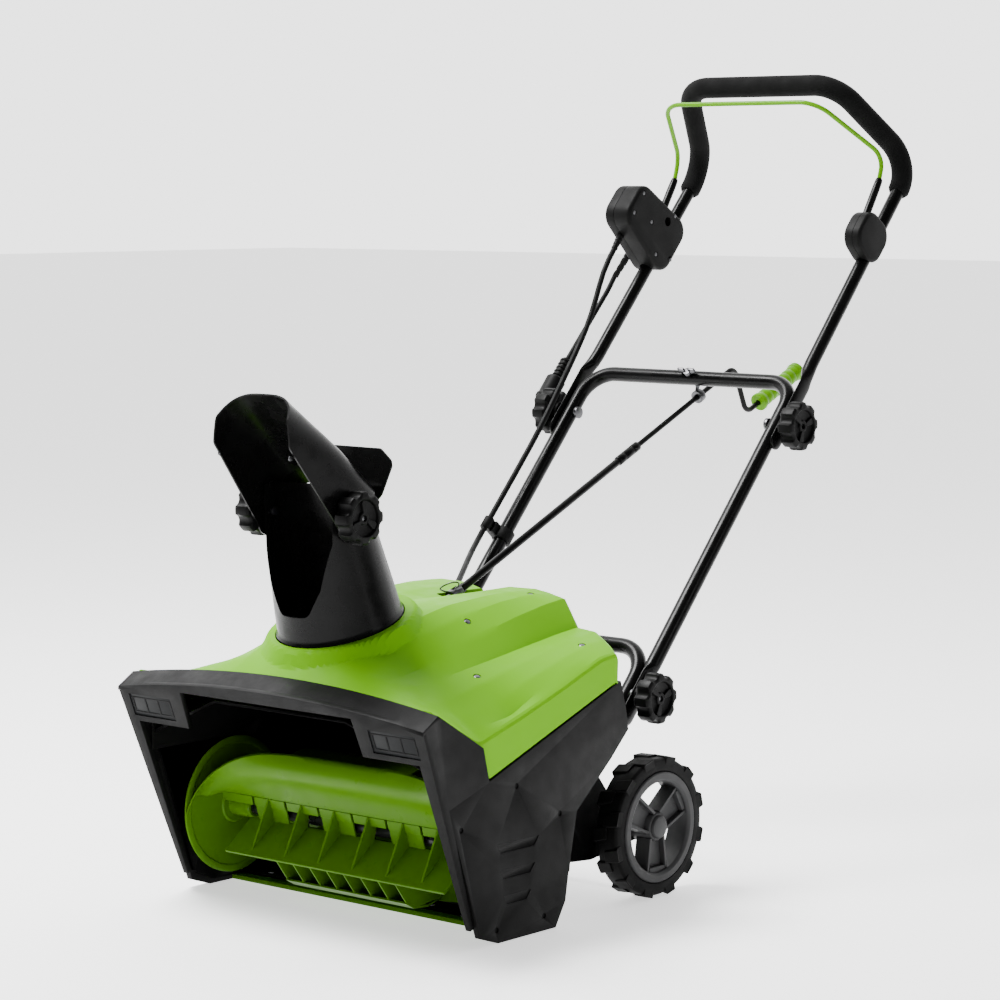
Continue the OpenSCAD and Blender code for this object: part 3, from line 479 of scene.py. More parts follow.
def cover_grid():
    """x, y and z of the cover's upper skin on a fine grid."""
    xs = stepped([-x for x in COVER_X[:0:-1]] + list(COVER_X))
    ys = stepped(COVER_Y)
    table = np.array(COVER_Z, float)
    across = np.array([np.interp(abs(xs), COVER_X, line) for line in table])
    z = np.array([np.interp(ys, COVER_Y, across[:, i]) for i in range(len(xs))]).T
    z = soft_blur(z, COVER_BLUR)
    x, v = np.meshgrid(xs, ys)
    shorten = np.interp(abs(xs), COVER_X, COVER_REAR)[None, :]
    y = v - shorten * ((v - COVER_FRONT_Y) / (COVER_REAR_Y - COVER_FRONT_Y)) ** 3
    # The collar round the chute is level with its foot
    lean = math.radians(CHUTE_LEAN)
    back = y - CHUTE_AT[0]
    plane = CHUTE_AT[1] + back * math.tan(lean)
    away = np.hypot(x, back * math.cos(lean) + (z - CHUTE_AT[1]) * math.sin(lean))
    weight = np.clip((COLLAR_R - away) / COLLAR_FLANK, 0, 1)
    weight = weight * weight * (3 - 2 * weight)
    z = z * (1 - weight) + np.maximum(z, plane + 0.5) * weight
    return x, y, z - COVER_SKIN


def cover():
    x, y, z = cover_grid()
    rows, cols = x.shape
    grid = [[Vector((x[i, j], y[i, j], z[i, j])) for j in range(cols)] for i in range(rows)]

    def hem(p, sign):
        """The strip below the cover's long edge, down to the side cover."""
        if p.y >= HEM_Y:
            base = min(HEM_Z + (p.y - HEM_Y) * HEM_RISE, p.z - 4)
        elif p.y > HEM_TURN_Y:
            base = min(HEM_TURN_Z - (p.y - HEM_TURN_Y) * HEM_DROP, p.z - 4)
        else:
            base = p.z - 5
        return [Vector((sign * (p.x * sign + 2), p.y, p.z - 1.2)),
                Vector((sign * COVER_HALF, p.y, p.z - 4)),
                Vector((sign * COVER_HALF, p.y, base))]

    for i in range(rows):
        left = hem(grid[i][0], -1)
        right = hem(grid[i][-1], 1)
        grid[i] = left[::-1] + grid[i] + right
    last = grid[-1]
    for back, drop in COVER_CURTAIN:
        grid.append([Vector((p.x, p.y + back, p.z - drop)) for p in last])
    flat = [v for line in grid for v in line]
    width = len(grid[0])
    shape = Shape()
    shape.add(flat, [[i * width + j, i * width + j + 1, (i + 1) * width + j + 1, (i + 1) * width + j]
                     for i in range(len(grid) - 1) for j in range(width - 1)])
    skin = solid(shape, "cover_skin")
    thick = skin.modifiers.new("thick", "SOLIDIFY")
    thick.thickness = COVER_SKIN / 1000
    thick.offset = 1
    combine(skin, [])
    hole = Shape(CHUTE)
    hole.lathe([(-110, CHUTE_R + CHUTE_GAP), (90, CHUTE_R + CHUTE_GAP)], axis=(0, 0, 1), steps=96)
    slot = Shape()
    slot.prism(rounded([(-13, 345), (13, 345), (13, 470), (-13, 470)], 6), 360, 430, "z")
    cuts = [solid(hole, "hole"), solid(slot, "slot")]
    screws = Shape()
    rise_y = np.gradient(z, axis=0) / np.gradient(y, axis=0)
    rise_x = np.gradient(z, axis=1) / np.gradient(x, axis=1)
    for sx, sy in [(side * at[0], at[1]) for side in (-1, 1) for at in COVER_SCREWS]:
        nearest = np.argmin((x - sx) ** 2 + (y - sy) ** 2)
        out = Vector((-rise_x.flat[nearest], -rise_y.flat[nearest], 1)).normalized()
        at = Vector((sx, sy, z.flat[nearest])) + out * COVER_SKIN
        well = Shape()
        well.lathe([(-1.9, 5.2), (40, 6.4)], centre=at, axis=out, steps=32)
        cuts.append(solid(well, "well"))
        screws.lathe([(-4, 2), (-2.2, 4.6), (-1.4, 4.6), (-0.5, 3.6), (-0.3, 2.6), (-0.3, 0.5)],
                     centre=at, axis=out, steps=32)
    combine(skin, cuts)
    dressed(skin, "cover", "cover_green", "machine", ["top_cover"], bevel=0.7, angle=14)
    screws.make("cover_screws", "steel", "machine", bevel=0.2)


def inner_walls():
    """Panels inside the cover's long edges, from the throat plate up to the cover."""
    walls = Shape()
    inside, outside = 251.6, 253.6
    outline = [(40, 294), (60, 290), (116, 263), (140, 268), (199, 276), (260, 300), (340, 324), (400, 336),
               (400, 296), (300, 240), (200, 205), (40, 205)]
    for side in (-1, 1):
        walls.prism(outline, side * inside, side * outside)
    walls.make("inner_side_walls", "shell_black", "machine", bevel=0.3)


# ---- chute and deflector ----

# The deflector's bolt
PIVOT = (84.5, 539.5)
GEAR_TEETH = 48


def chute():
    turret = Shape(CHUTE)
    turret.lathe([(-62, 80), (-6, 80), (-1, 86), (2, 86), (4, 84.5), (8, 83.3), (196, 66), (196, 63),
                  (2, 80.6), (-2, 77), (-62, 77)], axis=(0, 0, 1), steps=128, closed=True)
    body = solid(turret, "turret")
    slope = Shape()
    slope.prism([(-60, 612), (60, 582), (110, 574), (148, 571), (153, 584), (240, 572), (240, 700),
                 (-60, 700)], -120, 120)
    mouth = Shape(CHUTE)
    mouth.prism(rounded([(-24, 40), (24, 40), (44, 74), (60, 130), (64, 210), (-64, 210), (-60, 130),
                         (-44, 74)], 14), -200, -10, "y")
    bolt = side_bore("bolt", WORLD, -90, 90, PIVOT, 3)
    combine(body, [solid(slope, "slope"), solid(mouth, "mouth"), bolt])
    dressed(body, "chute_tube", "tube_black", "chute_turret", ["chute"], bevel=0.9, segments=3)
    gear = Shape(CHUTE)
    gear.lathe([(-40, 78), (-40, 94), (-36, 94), (-36, 78)], axis=(0, 0, 1), steps=96, closed=True)
    for i in range(GEAR_TEETH):
        turn = Matrix.Rotation(2 * math.pi * i / GEAR_TEETH, 3, "Z")
        corner = [(84, -1.6), (93, -1.2), (93, 1.2), (84, 1.6)]
        gear.rings([[turn @ Vector((*c, z)) for c in corner] for z in (-43, -39)])
    gear.make("chute_gear", "tube_black", "chute_turret", bevel=0.3)
    guard = Shape()
    plate = rounded([(-52, 552), (52, 552), (62, 562), (80, 600), (79, 608), (60, 623),
                     (-60, 623), (-79, 608), (-80, 600), (-62, 562)], 8)
    guard.prism(plate, 157, 160, "y")
    inner = rounded([(-46, 560), (46, 560), (56, 570), (70, 600), (54, 615), (-54, 615), (-70, 600),
                     (-56, 570)], 8)
    guard.prism(inner, 159.5, 161.2, "y")
    guard.prism([(157, 558), (166, 546), (161, 542), (153, 553)], -40, 40)
    guard.make("chute_guard", "tube_black", "chute_turret", bevel=0.8, segments=3)


HOOD = tilted(62, 527, 48)
HOOD_STEPS = 40
HOOD_SKIN = 2.6
# How square the hood is at its foot and how round at its mouth, as powers of sine and cosine
HOOD_BOX = 0.34
HOOD_ROUND = 0.72


def hood_section(half, height, drop, power):
    """An arch with straight legs, open downwards."""
    arc = []
    for i in range(HOOD_STEPS + 1):
        a = math.pi * i / HOOD_STEPS
        x = half * math.copysign(abs(math.cos(a)) ** power, math.cos(a))
        arc.append((x, height * math.sin(a) ** power))
    return arc + [(-half, drop), (half, drop)]


def hood_loft(thin, low, high):
    """The hood's tube, narrower towards its opening."""
    shape = Shape(HOOD)
    stations = np.linspace(low, high, 14)
    rings = []
    for along in stations:
        half = np.interp(along, (0, 190), (76, 66.5)) - thin
        height = np.interp(along, (0, 190), (92, 90)) - thin
        power = np.interp(along, (60, 190), (HOOD_BOX, HOOD_ROUND))
        rings.append([(x, y, along) for x, y in hood_section(half, height, -70, power)])
    shape.rings(rings)
    return solid(shape, "hood_tube")


def deflector():
    side = Shape()
    outline = rounded([(-19, 634), (-18.5, 668), (8, 702), (16, 702), (146, 577), (98, 523), (84, 505),
                       (72, 510), (63, 526)], 10, 8)
    side.prism(outline, -100, 100)
    body = solid(side, "hood_side")
    combine(body, [hood_loft(0, -80, 260)], "INTERSECT")
    combine(body, [hood_loft(HOOD_SKIN, -110, 300), side_bore("bolt", WORLD, -100, 100, PIVOT, 3)])
    dressed(body, "deflector_hood", "tube_black", "deflector", ["deflector"], bevel=0.7, segments=3)
    heads = Shape(HOOD)
    for s in (-1, 1):
        heads.lathe([(0, 0.4), (0, 3.4), (1.2, 3.2), (2.2, 1.8), (2.4, 0.4)], centre=(s * 64, 20, 118),
                    axis=(-s, 0, 0), steps=24)
    heads.make("deflector_rivets", "steel", "deflector", bevel=0)


# ---- knobs ----

SIDES = (("left", -1), ("right", 1))
KNOB_R = 35
KNOB_LOBES = 8
KNOB_THICK = 25
KNOB_STEPS = 192


def lobed(radius, turn, reach=40, bite=10):
    """Radius of a scalloped knob at one angle."""
    step = 2 * math.pi / KNOB_LOBES
    off = (turn + step / 2) % step - step / 2
    off = abs(abs(off) - step / 2)
    inside = bite ** 2 - (reach * math.sin(off)) ** 2
    if inside <= 0:
        return radius
    return min(radius, reach * math.cos(off) - math.sqrt(inside) + 0.4)


def knob(name, space, at, out, neck, body, node):
    """A lobed knob with a dished face and three blades. at is where the neck starts."""
    shape = Shape(space)
    turns = [2 * math.pi * k / KNOB_STEPS for k in range(KNOB_STEPS)]

    def ring(along, radius=None, scale=1.0):
        loop = []
        for t in turns:
            r = radius if radius else lobed(KNOB_R, t) * scale
            loop.append((at[0] + out * along, at[1] + r * math.cos(t), at[2] + r * math.sin(t)))
        return loop

    face = neck + KNOB_THICK
    shape.rings([ring(0, 4.2), ring(0, 14.4), ring(0.6, 15), ring(neck, 15), ring(neck + 0.1, scale=0.86),
                 ring(neck + 1.2, scale=0.94), ring(neck + 3, scale=0.985), ring(neck + 6, scale=1.0),
                 ring(face - 5, scale=1.0), ring(face - 2, scale=0.98), ring(face - 0.7, scale=0.94),
                 ring(face, scale=0.88), ring(face, 25.2), ring(face - 0.8, 24.2), ring(face - 4.5, 23.2),
                 ring(face - 5, 22.2), ring(face - 5, 9), ring(face - 2.6, 8.4), ring(face - 2, 7.4),
                 ring(face - 2, 4.3), ring(face - 3, 4), ring(neck + 2, 4)], closed=True)
    for i in range(3):
        turn = Matrix.Rotation(math.radians(120 * i + 90), 3, "X")
        wing = [(7, -2.2), (20, -5.5), (23.4, -4), (23.4, 4), (20, 5.5), (7, 2.2)]
        loops = []
        for along, scale in ((face - 6, 1), (face - 2.6, 1), (face - 1.6, 0.9)):
            loops.append([Vector(at) + turn @ Vector((0, p[0], p[1] * scale)) + Vector((out * along, 0, 0))
                          for p in wing])
        shape.rings(loops)
    shape.make(name, "knob_black", body, [node], bevel=0.5, segments=2, angle=30)


def knobs():
    for side, s in SIDES:
        knob("knob_lower_grip_" + side, HANDLE, (s * 195.4, -478, 0), s, 14, "lower_knob_" + side,
             "knob_lower_" + side)
        knob("knob_mid_grip_" + side, HANDLE, (s * 208.8, 0, 0), s, 8, "mid_knob_" + side,
             "knob_mid_" + side)
        knob("knob_chute_grip_" + side, WORLD, (s * 76.4, *PIVOT), s, 1, "chute_knob_" + side,
             "knob_chute_" + side)


# ---- auger ----

AUGER = (187, 110)
AUGER_HALF = 245
AUGER_R = 97
# A paddle's root and tip in degrees, how far the tip sweeps forward at the ends, and how late
ROOT_ANGLE = 140
TIP_ANGLE = 112
TIP_SWEEP = 76
SWEEP_POWER = 5.5
PADDLE_HALF = 243
# The scoop: its long ribs, and the vanes below its edge
RIB_PITCH = 62
RIB_COUNT = 6
VANE_PITCH = 31
VANE_COUNT = 8


def around(x, radius, angle):
    return Vector((x, AUGER[0] + radius * math.cos(angle), AUGER[1] + radius * math.sin(angle)))


def tip_turn(x):
    """Angle of a paddle's tip: it runs high along the middle and sweeps forward at both ends."""
    return math.radians(TIP_ANGLE + TIP_SWEEP * (abs(x) / AUGER_HALF) ** SWEEP_POWER)


def paddle(name, turn):
    """A smooth sheet with a swept tip, and the ribbed scoop that carries it."""
    turn = math.radians(turn)
    root = math.radians(ROOT_ANGLE)
    front, back = [], []
    for x in np.linspace(-PADDLE_HALF, PADDLE_HALF, 109):
        line, rear = [], []
        for share in np.linspace(0, 1, 18):
            r = 33 + (AUGER_R - 34) * share
            angle = root + (tip_turn(x) - root) * (share + 0.16 * math.sin(2 * math.pi * share))
            thick = np.interp(share, (0, 0.85, 0.92, 1), (4.5, 4, 6.5, 5.5))
            line.append(around(x, r, turn + angle))
            rear.append(around(x, r, turn + angle - thick / r))
        front.append(line)
        back.append(rear)
    blade = Shape()
    blade.rings([f + b[::-1] for f, b in zip(front, back)])

    def put(x, point):
        away = math.hypot(*point)
        return around(x, away, turn + math.atan2(point[1], point[0]))

    def plate(outline, low, high):
        blade.rings([[put(x, p) for p in outline] for x in (low, high)])

    top = (-25, 21)
    heel = (-13, -11)
    edge = (-62, -50)
    plate([heel, (-14, -14.5), (edge[0], edge[1] - 2.5), (edge[0] - 2, edge[1]),
           (edge[0] - 1, edge[1] + 1.5)], -200, 200)
    for i in range(RIB_COUNT):
        x = (i - (RIB_COUNT - 1) / 2) * RIB_PITCH
        plate([top, (-9, 10), heel, (-15, -14), (edge[0] + 1, edge[1] - 1)], x - 1.6, x + 1.6)
    for i in range(-4, 4):
        low = i * RIB_PITCH + 2
        high = low + RIB_PITCH - 4
        plate([top, (-21.5, 20), (-17.5, 9), (-21, 8)], low, high)
        if i % 2:
            plate([(-20, 9), (-17, 9), (-11, -12), (-14, -12)], low, high)
    vane = [(edge[0] + 4, edge[1] - 2), (-34, -84), (-22, -91), (34, -85), (27, -24), (-12, -13)]
    for i in range(VANE_COUNT):
        x = (i - (VANE_COUNT - 1) / 2) * VANE_PITCH
        plate(vane, x - 1.3, x + 1.3)
    floor = [(-38, -82), (-22, -91), (6, -93.5), (34, -87), (33, -84), (6, -90), (-21, -88), (-35, -80)]
    plate(floor, -110, 110)
    blade.make(name, "rotor_green", "auger", ["auger_rotor"], bevel=0.7, segments=2, angle=38)


def auger():
    paddle("auger_paddle_front", 0)
    paddle("auger_paddle_rear", 180)
    core = Shape()
    for s in (-1, 1):
        core.lathe([(s * 246, 10), (s * 246, 15), (s * 205, 15), (s * 203, 13.5), (s * 203, 10)],
                   centre=(0, *AUGER), closed=True)
    disc = [(0, 12), (0, 93), (0.8, 95), (3.2, 95), (4, 93), (4, 86), (2.6, 84), (2.6, 26), (5, 24),
            (5, 12)]
    for s in (-1, 1):
        core.lathe([(s * (a - 247), r) for a, r in disc], centre=(0, *AUGER), steps=96, closed=True)
    core.make("auger_core", "rotor_green", "auger", bevel=0.4)


# ---- wheels ----

AXLE = (AXLE_Y, 97)
WHEEL_IN = 226
TYRE_W = 38
RIM_R = 75.5
LUG_COUNT = 24
LUG_LEAN = 0.085
SPOKES = 3


def tyre(side, s):
    shape = Shape()
    half = TYRE_W / 2
    mid = WHEEL_IN + half
    wall = [(half - 2, 0), (half, 2), (half, 10), (half - 1.2, 16), (half - 4, 18.4), (8, 19)]
    profile = [(-x, RIM_R + r) for x, r in wall] + [(0, RIM_R + 19.2)]
    profile += [(x, RIM_R + r) for x, r in wall[::-1]]
    shape.lathe(profile, centre=(s * mid, *AXLE), axis=(s, 0, 0), steps=144, closed=True)
    for i in range(LUG_COUNT):
        hand = 1 if i % 2 else -1
        turn = Matrix.Rotation(2 * math.pi * i / LUG_COUNT, 3, "X")
        near, far = 19 * hand, -1.5 * hand
        loops = []
        # A lug gets shorter round the tyre and wider along the axle as it rises
        for r, ease in ((RIM_R + 9, 0), (RIM_R + 19.6, 0.6), (RIM_R + 21.5, 2)):
            lean = LUG_LEAN * r * hand * 0.6
            loop = []
            for x, w, shift in ((near, 11, 0), (far, 10, lean), (far, -10, lean), (near, -11, 0)):
                wide = math.copysign(abs(w) - ease, w)
                along = x + math.copysign(ease, x)
                loop.append(turn @ Vector((along * s, wide + shift, -math.sqrt(r * r - wide * wide))))
            loops.append([p + Vector((s * mid, *AXLE)) for p in loop])
        shape.rings(loops)
    shape.make("tyre_tread_" + side, "tyre", "wheel_" + side, ["tyre_" + side], bevel=1.2, segments=3,
               angle=30)


def hub(side, s):
    shape = Shape()
    centre = (s * WHEEL_IN, *AXLE)
    shape.lathe([(2, RIM_R), (2, 66), (3, 65), (TYRE_W - 2, 62), (TYRE_W, 63), (TYRE_W + 2, 66),
                 (TYRE_W + 2, 74), (TYRE_W + 0.5, RIM_R)],
                centre=centre, axis=(s, 0, 0), steps=128, closed=True)
    shape.lathe([(1, 6.1), (1, 20), (3, 21), (TYRE_W - 8, 20), (TYRE_W - 4, 18.5), (TYRE_W - 3, 17),
                 (TYRE_W - 3, 6.1)], centre=centre, axis=(s, 0, 0), steps=72, closed=True)
    for i in range(SPOKES):
        turn = Matrix.Rotation(math.radians(360 / SPOKES * i), 3, "X")

        def plate(points, low, high):
            shape.rings([[turn @ Vector((s * x, *p)) + Vector(centre) for p in points] for x in (low, high)])

        plate([(-16, -14), (-23, -64), (23, -64), (16, -14)], 10, 26)
        for left in (-1, 1):
            plate([(left * 16, -14), (left * 23, -64), (left * 18.4, -64), (left * 12, -14)], 25, TYRE_W - 4)
        plate([(-16, -55), (-17, -65), (17, -65), (16, -55)], 25, TYRE_W - 4)
    shape.make("hub_wheel_" + side, "hub_grey", "wheel_" + side, ["hub_" + side], bevel=1.1, segments=3,
               angle=30)
    cap = Shape()
    cap.lathe([(TYRE_W - 4, 0.5), (TYRE_W - 4, 16), (TYRE_W - 1, 16), (TYRE_W + 1.2, 14.6),
               (TYRE_W + 2, 12), (TYRE_W + 2, 0.5)], centre=centre, axis=(s, 0, 0), steps=48)
    cap.make("cap_wheel_" + side, "hub_grey", "wheel_" + side, ["hub_cap_" + side], bevel=0.4)


def wheels():
    for side, s in SIDES:
        tyre(side, s)
        hub(side, s)


# ---- handles ----

HOOP_X = 172
LOWER_X = 191
UPPER_X = 199
PLATE_X = 205.4
LOWER_R = 11
UPPER_R = 10
# Stations along the tubes' pressed ends
LOWER_ENDS = [-526, -525.6, -524.5, -522, -518, -512, -500, -446, -443, -440, -437, -434, -431, -428, -420]
UPPER_ENDS = [-42, -41.6, -40.5, -38, -34, -29, -18, 60, 74, 78, 82, 86, 90, 94, 98]
FOAM_R = 16
FOAM_LIP = 3.2
FOAM_STEP = 6


def flattened(points, plate_end, flat_to, round_from, thick, wide, radius):
    """Half widths along a handle tube whose two ends are pressed flat and rounded off."""
    sizes = []
    for p in points:
        ease = np.interp(p.y, (flat_to, round_from), (0, 1))
        ease = ease * ease * (3 - 2 * ease)
        tall = wide + (radius - wide) * ease
        across = thick + (radius - thick) * ease
        past = plate_end + wide - p.y
        if past > 0:
            tall = max(1.2, math.sqrt(max(0, wide ** 2 - past ** 2)))
        sizes.append((across, tall))
    return sizes


def leg_steps(x, values):
    return [Vector((x, t, 0)) for t in values]


def lower_handles():
    """The hoop on the body, and the lower handle that is clamped to it."""
    hoop = Shape(HANDLE)
    path = filleted([(-HOOP_X, -646, 0), (-HOOP_X, -401, 0), (HOOP_X, -401, 0), (HOOP_X, -646, 0)], 50, 18)
    hoop.tube(path, LOWER_R, steps=40)
    hoop.make("hoop_tube", "tube_black", "machine", ["rear_hoop"], bevel=0.4, angle=50)
    lower = filleted([(-LOWER_X, -400, 0), (-LOWER_X, 77, 0), (LOWER_X, 77, 0), (LOWER_X, -400, 0)], 45, 18)
    path = leg_steps(-LOWER_X, LOWER_ENDS) + lower + leg_steps(LOWER_X, LOWER_ENDS[::-1])
    tube = Shape(HANDLE)
    sizes = flattened(path, LOWER_ENDS[0], -446, -426, 4, 14, LOWER_R)
    tube.tube(path, LOWER_R, steps=40, sizes=sizes)
    tube.make("lower_handle_tube", "tube_black", "machine", ["lower_handle"], bevel=0.4, angle=50)


def upper_handle():
    """The upper handle; the result is the part of its path above the pressed ends."""
    half = leg_steps(-PLATE_X, UPPER_ENDS)
    for p in half:
        p.x += np.interp(p.y, (76, 104), (0, PLATE_X - UPPER_X))
    arch = filleted([(-UPPER_X, 112, 0), (-196, 504, 0), (-138, 512, 167), (138, 512, 167), (196, 504, 0),
                     (UPPER_X, 112, 0)], 55, 18)
    path = half + arch + [Vector((-p.x, p.y, p.z)) for p in half[::-1]]
    tube = Shape(HANDLE)
    sizes = flattened(path, UPPER_ENDS[0], 74, 100, 3, 13, UPPER_R)
    tube.tube(path, UPPER_R, steps=40, sizes=sizes)
    tube.make("upper_handle_tube", "tube_black", "upper_frame", ["upper_handle"], bevel=0.4, angle=50)
    return arch


def foam_grip(arch):
    """The foam sleeve round the top of the upper handle, with rounded ends."""
    grip = [Vector((-196.4, 446, 0))] + arch[1:-1] + [Vector((196.4, 446, 0))]
    fine = []
    for a, b in zip(grip, grip[1:]):
        count = max(1, int((b - a).length / FOAM_STEP))
        fine += [a.lerp(b, k / count) for k in range(count)]
    fine.append(grip[-1])
    reach = reaches(fine)
    widths = []
    for r in reach:
        near = min(r, reach[-1] - r)
        full = FOAM_R - FOAM_LIP * max(0, 1 - near / 5) ** 2
        widths.append((full, full))
    foam = Shape(HANDLE)
    foam.tube(fine, FOAM_R, steps=48, sizes=widths)
    soft = foam.make("foam_grip_tube", "foam", "upper_frame", ["foam_grip"], bevel=0.8, segments=3)


# ---- switch box, bail ----

BOX = [(286, -18), (293, 118), (364, 118), (388, -18)]
BOX_SCREWS = [(312, 104), (350, 106), (300, 20), (376, 23), (330, 62), (318, -11)]
PIVOT_BOX = [(307.5, -14.5), (309.5, 54.5), (370.5, 54.5), (378, -14.5)]
BOX_CORNER = 24
BAIL_AT = (357, 32)
BAIL_X = 192
BUTTON_AT = (336, 70)


def pillow(shape, corners, radius, low, high, soft_low, soft_high):
    """A prism whose two end faces curve away at the rim."""
    middle = np.mean(corners, axis=0)

    def ring(x, inset):
        inner = [(t - math.copysign(inset, t - middle[0]), n - math.copysign(inset, n - middle[1]))
                 for t, n in corners]
        return [(x, t, n) for t, n in rounded(inner, radius - inset * 0.5, 8)]

    arc = [(1 - math.cos(a), 1 - math.sin(a)) for a in np.linspace(0, math.pi / 2, 6)]
    start = [ring(low + soft_low * depth, soft_low * inset) for depth, inset in arc]
    end = [ring(high - soft_high * depth, soft_high * inset) for depth, inset in arc[::-1]]
    shape.rings(start + end)


def leg_bore(s):
    """A cutter for the handle leg that passes through a box."""
    leg = Shape(HANDLE)
    leg.tube([(s * 199.8, 240, 0), (s * 197, 420, 0)], UPPER_R + 0.2, steps=48)
    return solid(leg, "tube_hole")


def switch_box():
    half = Shape(HANDLE)
    pillow(half, BOX, BOX_CORNER, -203.6, -173, 0.2, 6)
    base = solid(half, "box_half")
    cuts = [leg_bore(-1), side_bore("hub_hole", HANDLE, -300, -100, BAIL_AT, 7.3)]
    cuts += [side_bore("well", HANDLE, -179, -160, at, 3.8, 4.6, 32) for at in BOX_SCREWS]
    combine(base, cuts)
    dressed(base, "switch_box_half", "shell_black", "upper_frame", ["switch_box"], bevel=1.2, segments=3)


def switch_lid():
    lid = Shape(HANDLE)
    pillow(lid, BOX, BOX_CORNER, -223, -204.2, 6, 0.2)
    outer = solid(lid, "lid_half")
    panel = Shape(HANDLE)
    panel.prism(rounded([(316, 30), (322, 100), (354, 100), (368, 30)], 12, 8), -228, -222)
    combine(outer, [solid(panel, "panel")], "UNION")
    combine(outer, [leg_bore(-1), side_bore("button_hole", HANDLE, -240, -210, BUTTON_AT, 7.3, steps=48)])
    dressed(outer, "switch_lid_half", "shell_black", "upper_frame", ["switch_lid"], bevel=1.4, segments=3)


def pivot_box():
    """The box on the bail's other end, with a groove where its two halves meet."""
    pivot = Shape(HANDLE)
    pillow(pivot, PIVOT_BOX, BOX_CORNER, 183, 213, 5, 5)
    block = solid(pivot, "pivot_half")
    seam = Shape(HANDLE)
    seam.prism(rounded([(290, -25), (290, 70), (390, 70), (390, -25)], 2), 198.8, 199.6)
    keep = Shape(HANDLE)
    keep.prism(rounded([(309, -13), (311, 53), (369, 53), (376, -13)], 23, 10), 190, 205)
    groove = combine(solid(seam, "seam"), [solid(keep, "keep")])
    combine(block, [leg_bore(1), side_bore("hub_hole", HANDLE, 150, 210, BAIL_AT, 7.3), groove])
    dressed(block, "pivot_box_body", "shell_black", "upper_frame", ["pivot_box"], bevel=1.2, segments=3)


def bail():
    """The green wire and the black sleeves round its ends."""
    wire = Shape(HANDLE)
    path = filleted([(-BAIL_X, 425, 41), (-BAIL_X, 466, 60), (-140, 455.5, 190), (140, 455.5, 190),
                     (BAIL_X, 466, 60), (BAIL_X, 425, 41)], 44, 14)
    wire.tube(path, 3.5, up=(1, 0, 0), steps=28)
    wire.make("bail_wire", "bail_green", "bail", ["bail"], bevel=0)
    sleeves = Shape(HANDLE)
    for s in (-1, 1):
        foot = Vector((s * BAIL_X, 366, 33.6))
        top = Vector((s * BAIL_X, 434, 44.6))
        long = (top - foot).length
        sleeves.lathe([(-4, 3), (-4, 5.4), (0, 6), (long - 16, 6), (long - 4, 5.6), (long, 4.8), (long, 3.5)],
                      centre=foot, axis=top - foot, steps=40)
        sleeves.lathe([(-7, 1), (-7, 5.6), (-6, 7), (6, 7), (7, 5.6), (7, 1)],
                      centre=(s * BAIL_X, *BAIL_AT), steps=40)
    sleeves.make("bail_sleeve_pair", "tube_black", "bail", ["bail_sleeves"], bevel=0.3)


# ---- crank ----

# The eye that guides the rod, [y, z], and the rod's length up to its first bend
ROD_EYE = (922, 649)
ROD_LEN = math.hypot(ROD_EYE[0] - ROD_AT[0], ROD_EYE[1] - ROD_AT[1]) + 97
THROW = 78
GRIP_LEAD = 34
GRIP_LEN = 112
GRIP_GROOVES = 7


def crank():
    rod = Shape(ROD)
    top = ROD_LEN + GRIP_LEAD + GRIP_LEN + 5
    path = filleted([(0, 0, 8), (0, 0, ROD_LEN), (0, THROW, ROD_LEN), (0, THROW, top)], 14, 12)
    rod.tube(path, 4, up=(1, 0, 0), steps=32)
    rod.lathe([(10, 4.2), (10.6, 5.2), (12, 5.5), (384, 5.5), (386, 5.2), (386.5, 4.2)],
              axis=(0, 0, 1), steps=40)
    rod.lathe([(386, 4), (386, 6.4), (387, 7), (400, 7), (401, 6.6), (402, 7), (420, 7), (421, 6.6),
               (422, 7), (435, 7), (436, 6.4), (436, 4)], axis=(0, 0, 1), steps=40)
    rod.block((-2.6, -6, -6), (2.6, 6, 16))
    rod.lathe([(-9, 0.4), (-9, 1.5), (-8.4, 1.9), (8.4, 1.9), (9, 1.5), (9, 0.4)],
              centre=(0, 0, 424), steps=24)
    rod.make("crank_rod_bent", "tube_black", "crank", ["crank_rod"], bevel=0.3)
    grip = Shape(ROD)
    profile = [(0, 4.4), (0, 12.6), (1.2, 14), (6.8, 14), (8, 13)]
    for i in range(GRIP_GROOVES):
        at = 13 + i * 13
        profile += [(at, 12.2), (at + 1, 11.6), (at + 2, 12.2), (at + 6, 12.6)]
    profile += [(GRIP_LEN - 10, 12.8), (GRIP_LEN - 8.6, 14), (GRIP_LEN - 1.6, 14), (GRIP_LEN, 12.6),
                (GRIP_LEN, 6), (GRIP_LEN - 2, 5), (GRIP_LEN - 2, 4.2)]
    grip.lathe(profile, centre=(0, THROW, ROD_LEN + GRIP_LEAD), axis=(0, 0, 1), steps=64, closed=True)
    grip.make("crank_grip_sleeve", "bail_green", "crank_handle", ["crank_grip"], bevel=0.3)
    clip = Shape()
    loop = [(3, 370, 414), (12, 366, 419), (17, 358, 424), (13, 349, 424), (4, 345, 420), (-5, 347, 415),
            (-9, 355, 411), (-6, 364, 408), (2, 372, 406)]
    clip.tube(eased(loop, 3), 1.1, steps=14)
    clip.make("joint_clip", "steel", "pinion", bevel=0)


# ---- cables ----

UPPER_CABLE = [(-206, 268, 73.5), (-205, 220, 70), (-200, 130, 50), (-195, 8, 42)]
LOWER_CABLE = [(-196, -80, 36), (-202, -226, 31), (-202.8, -252, 31), (-172, -310, 60),
               (-111, -384, 115), (-50, -458, 170)]
PLUG_AT = (-259, 104, -5)
PIGTAIL = [(-254.9, 275.4, -3), (-257.5, 250, -7.5), (-259.2, 225, -8.6), (-259.4, 165, -7.2), PLUG_AT]
RELIEF_RIBS = 5
PLUG_RIBS = 5
CABLE_D = 8.5
PIGTAIL_D = 8


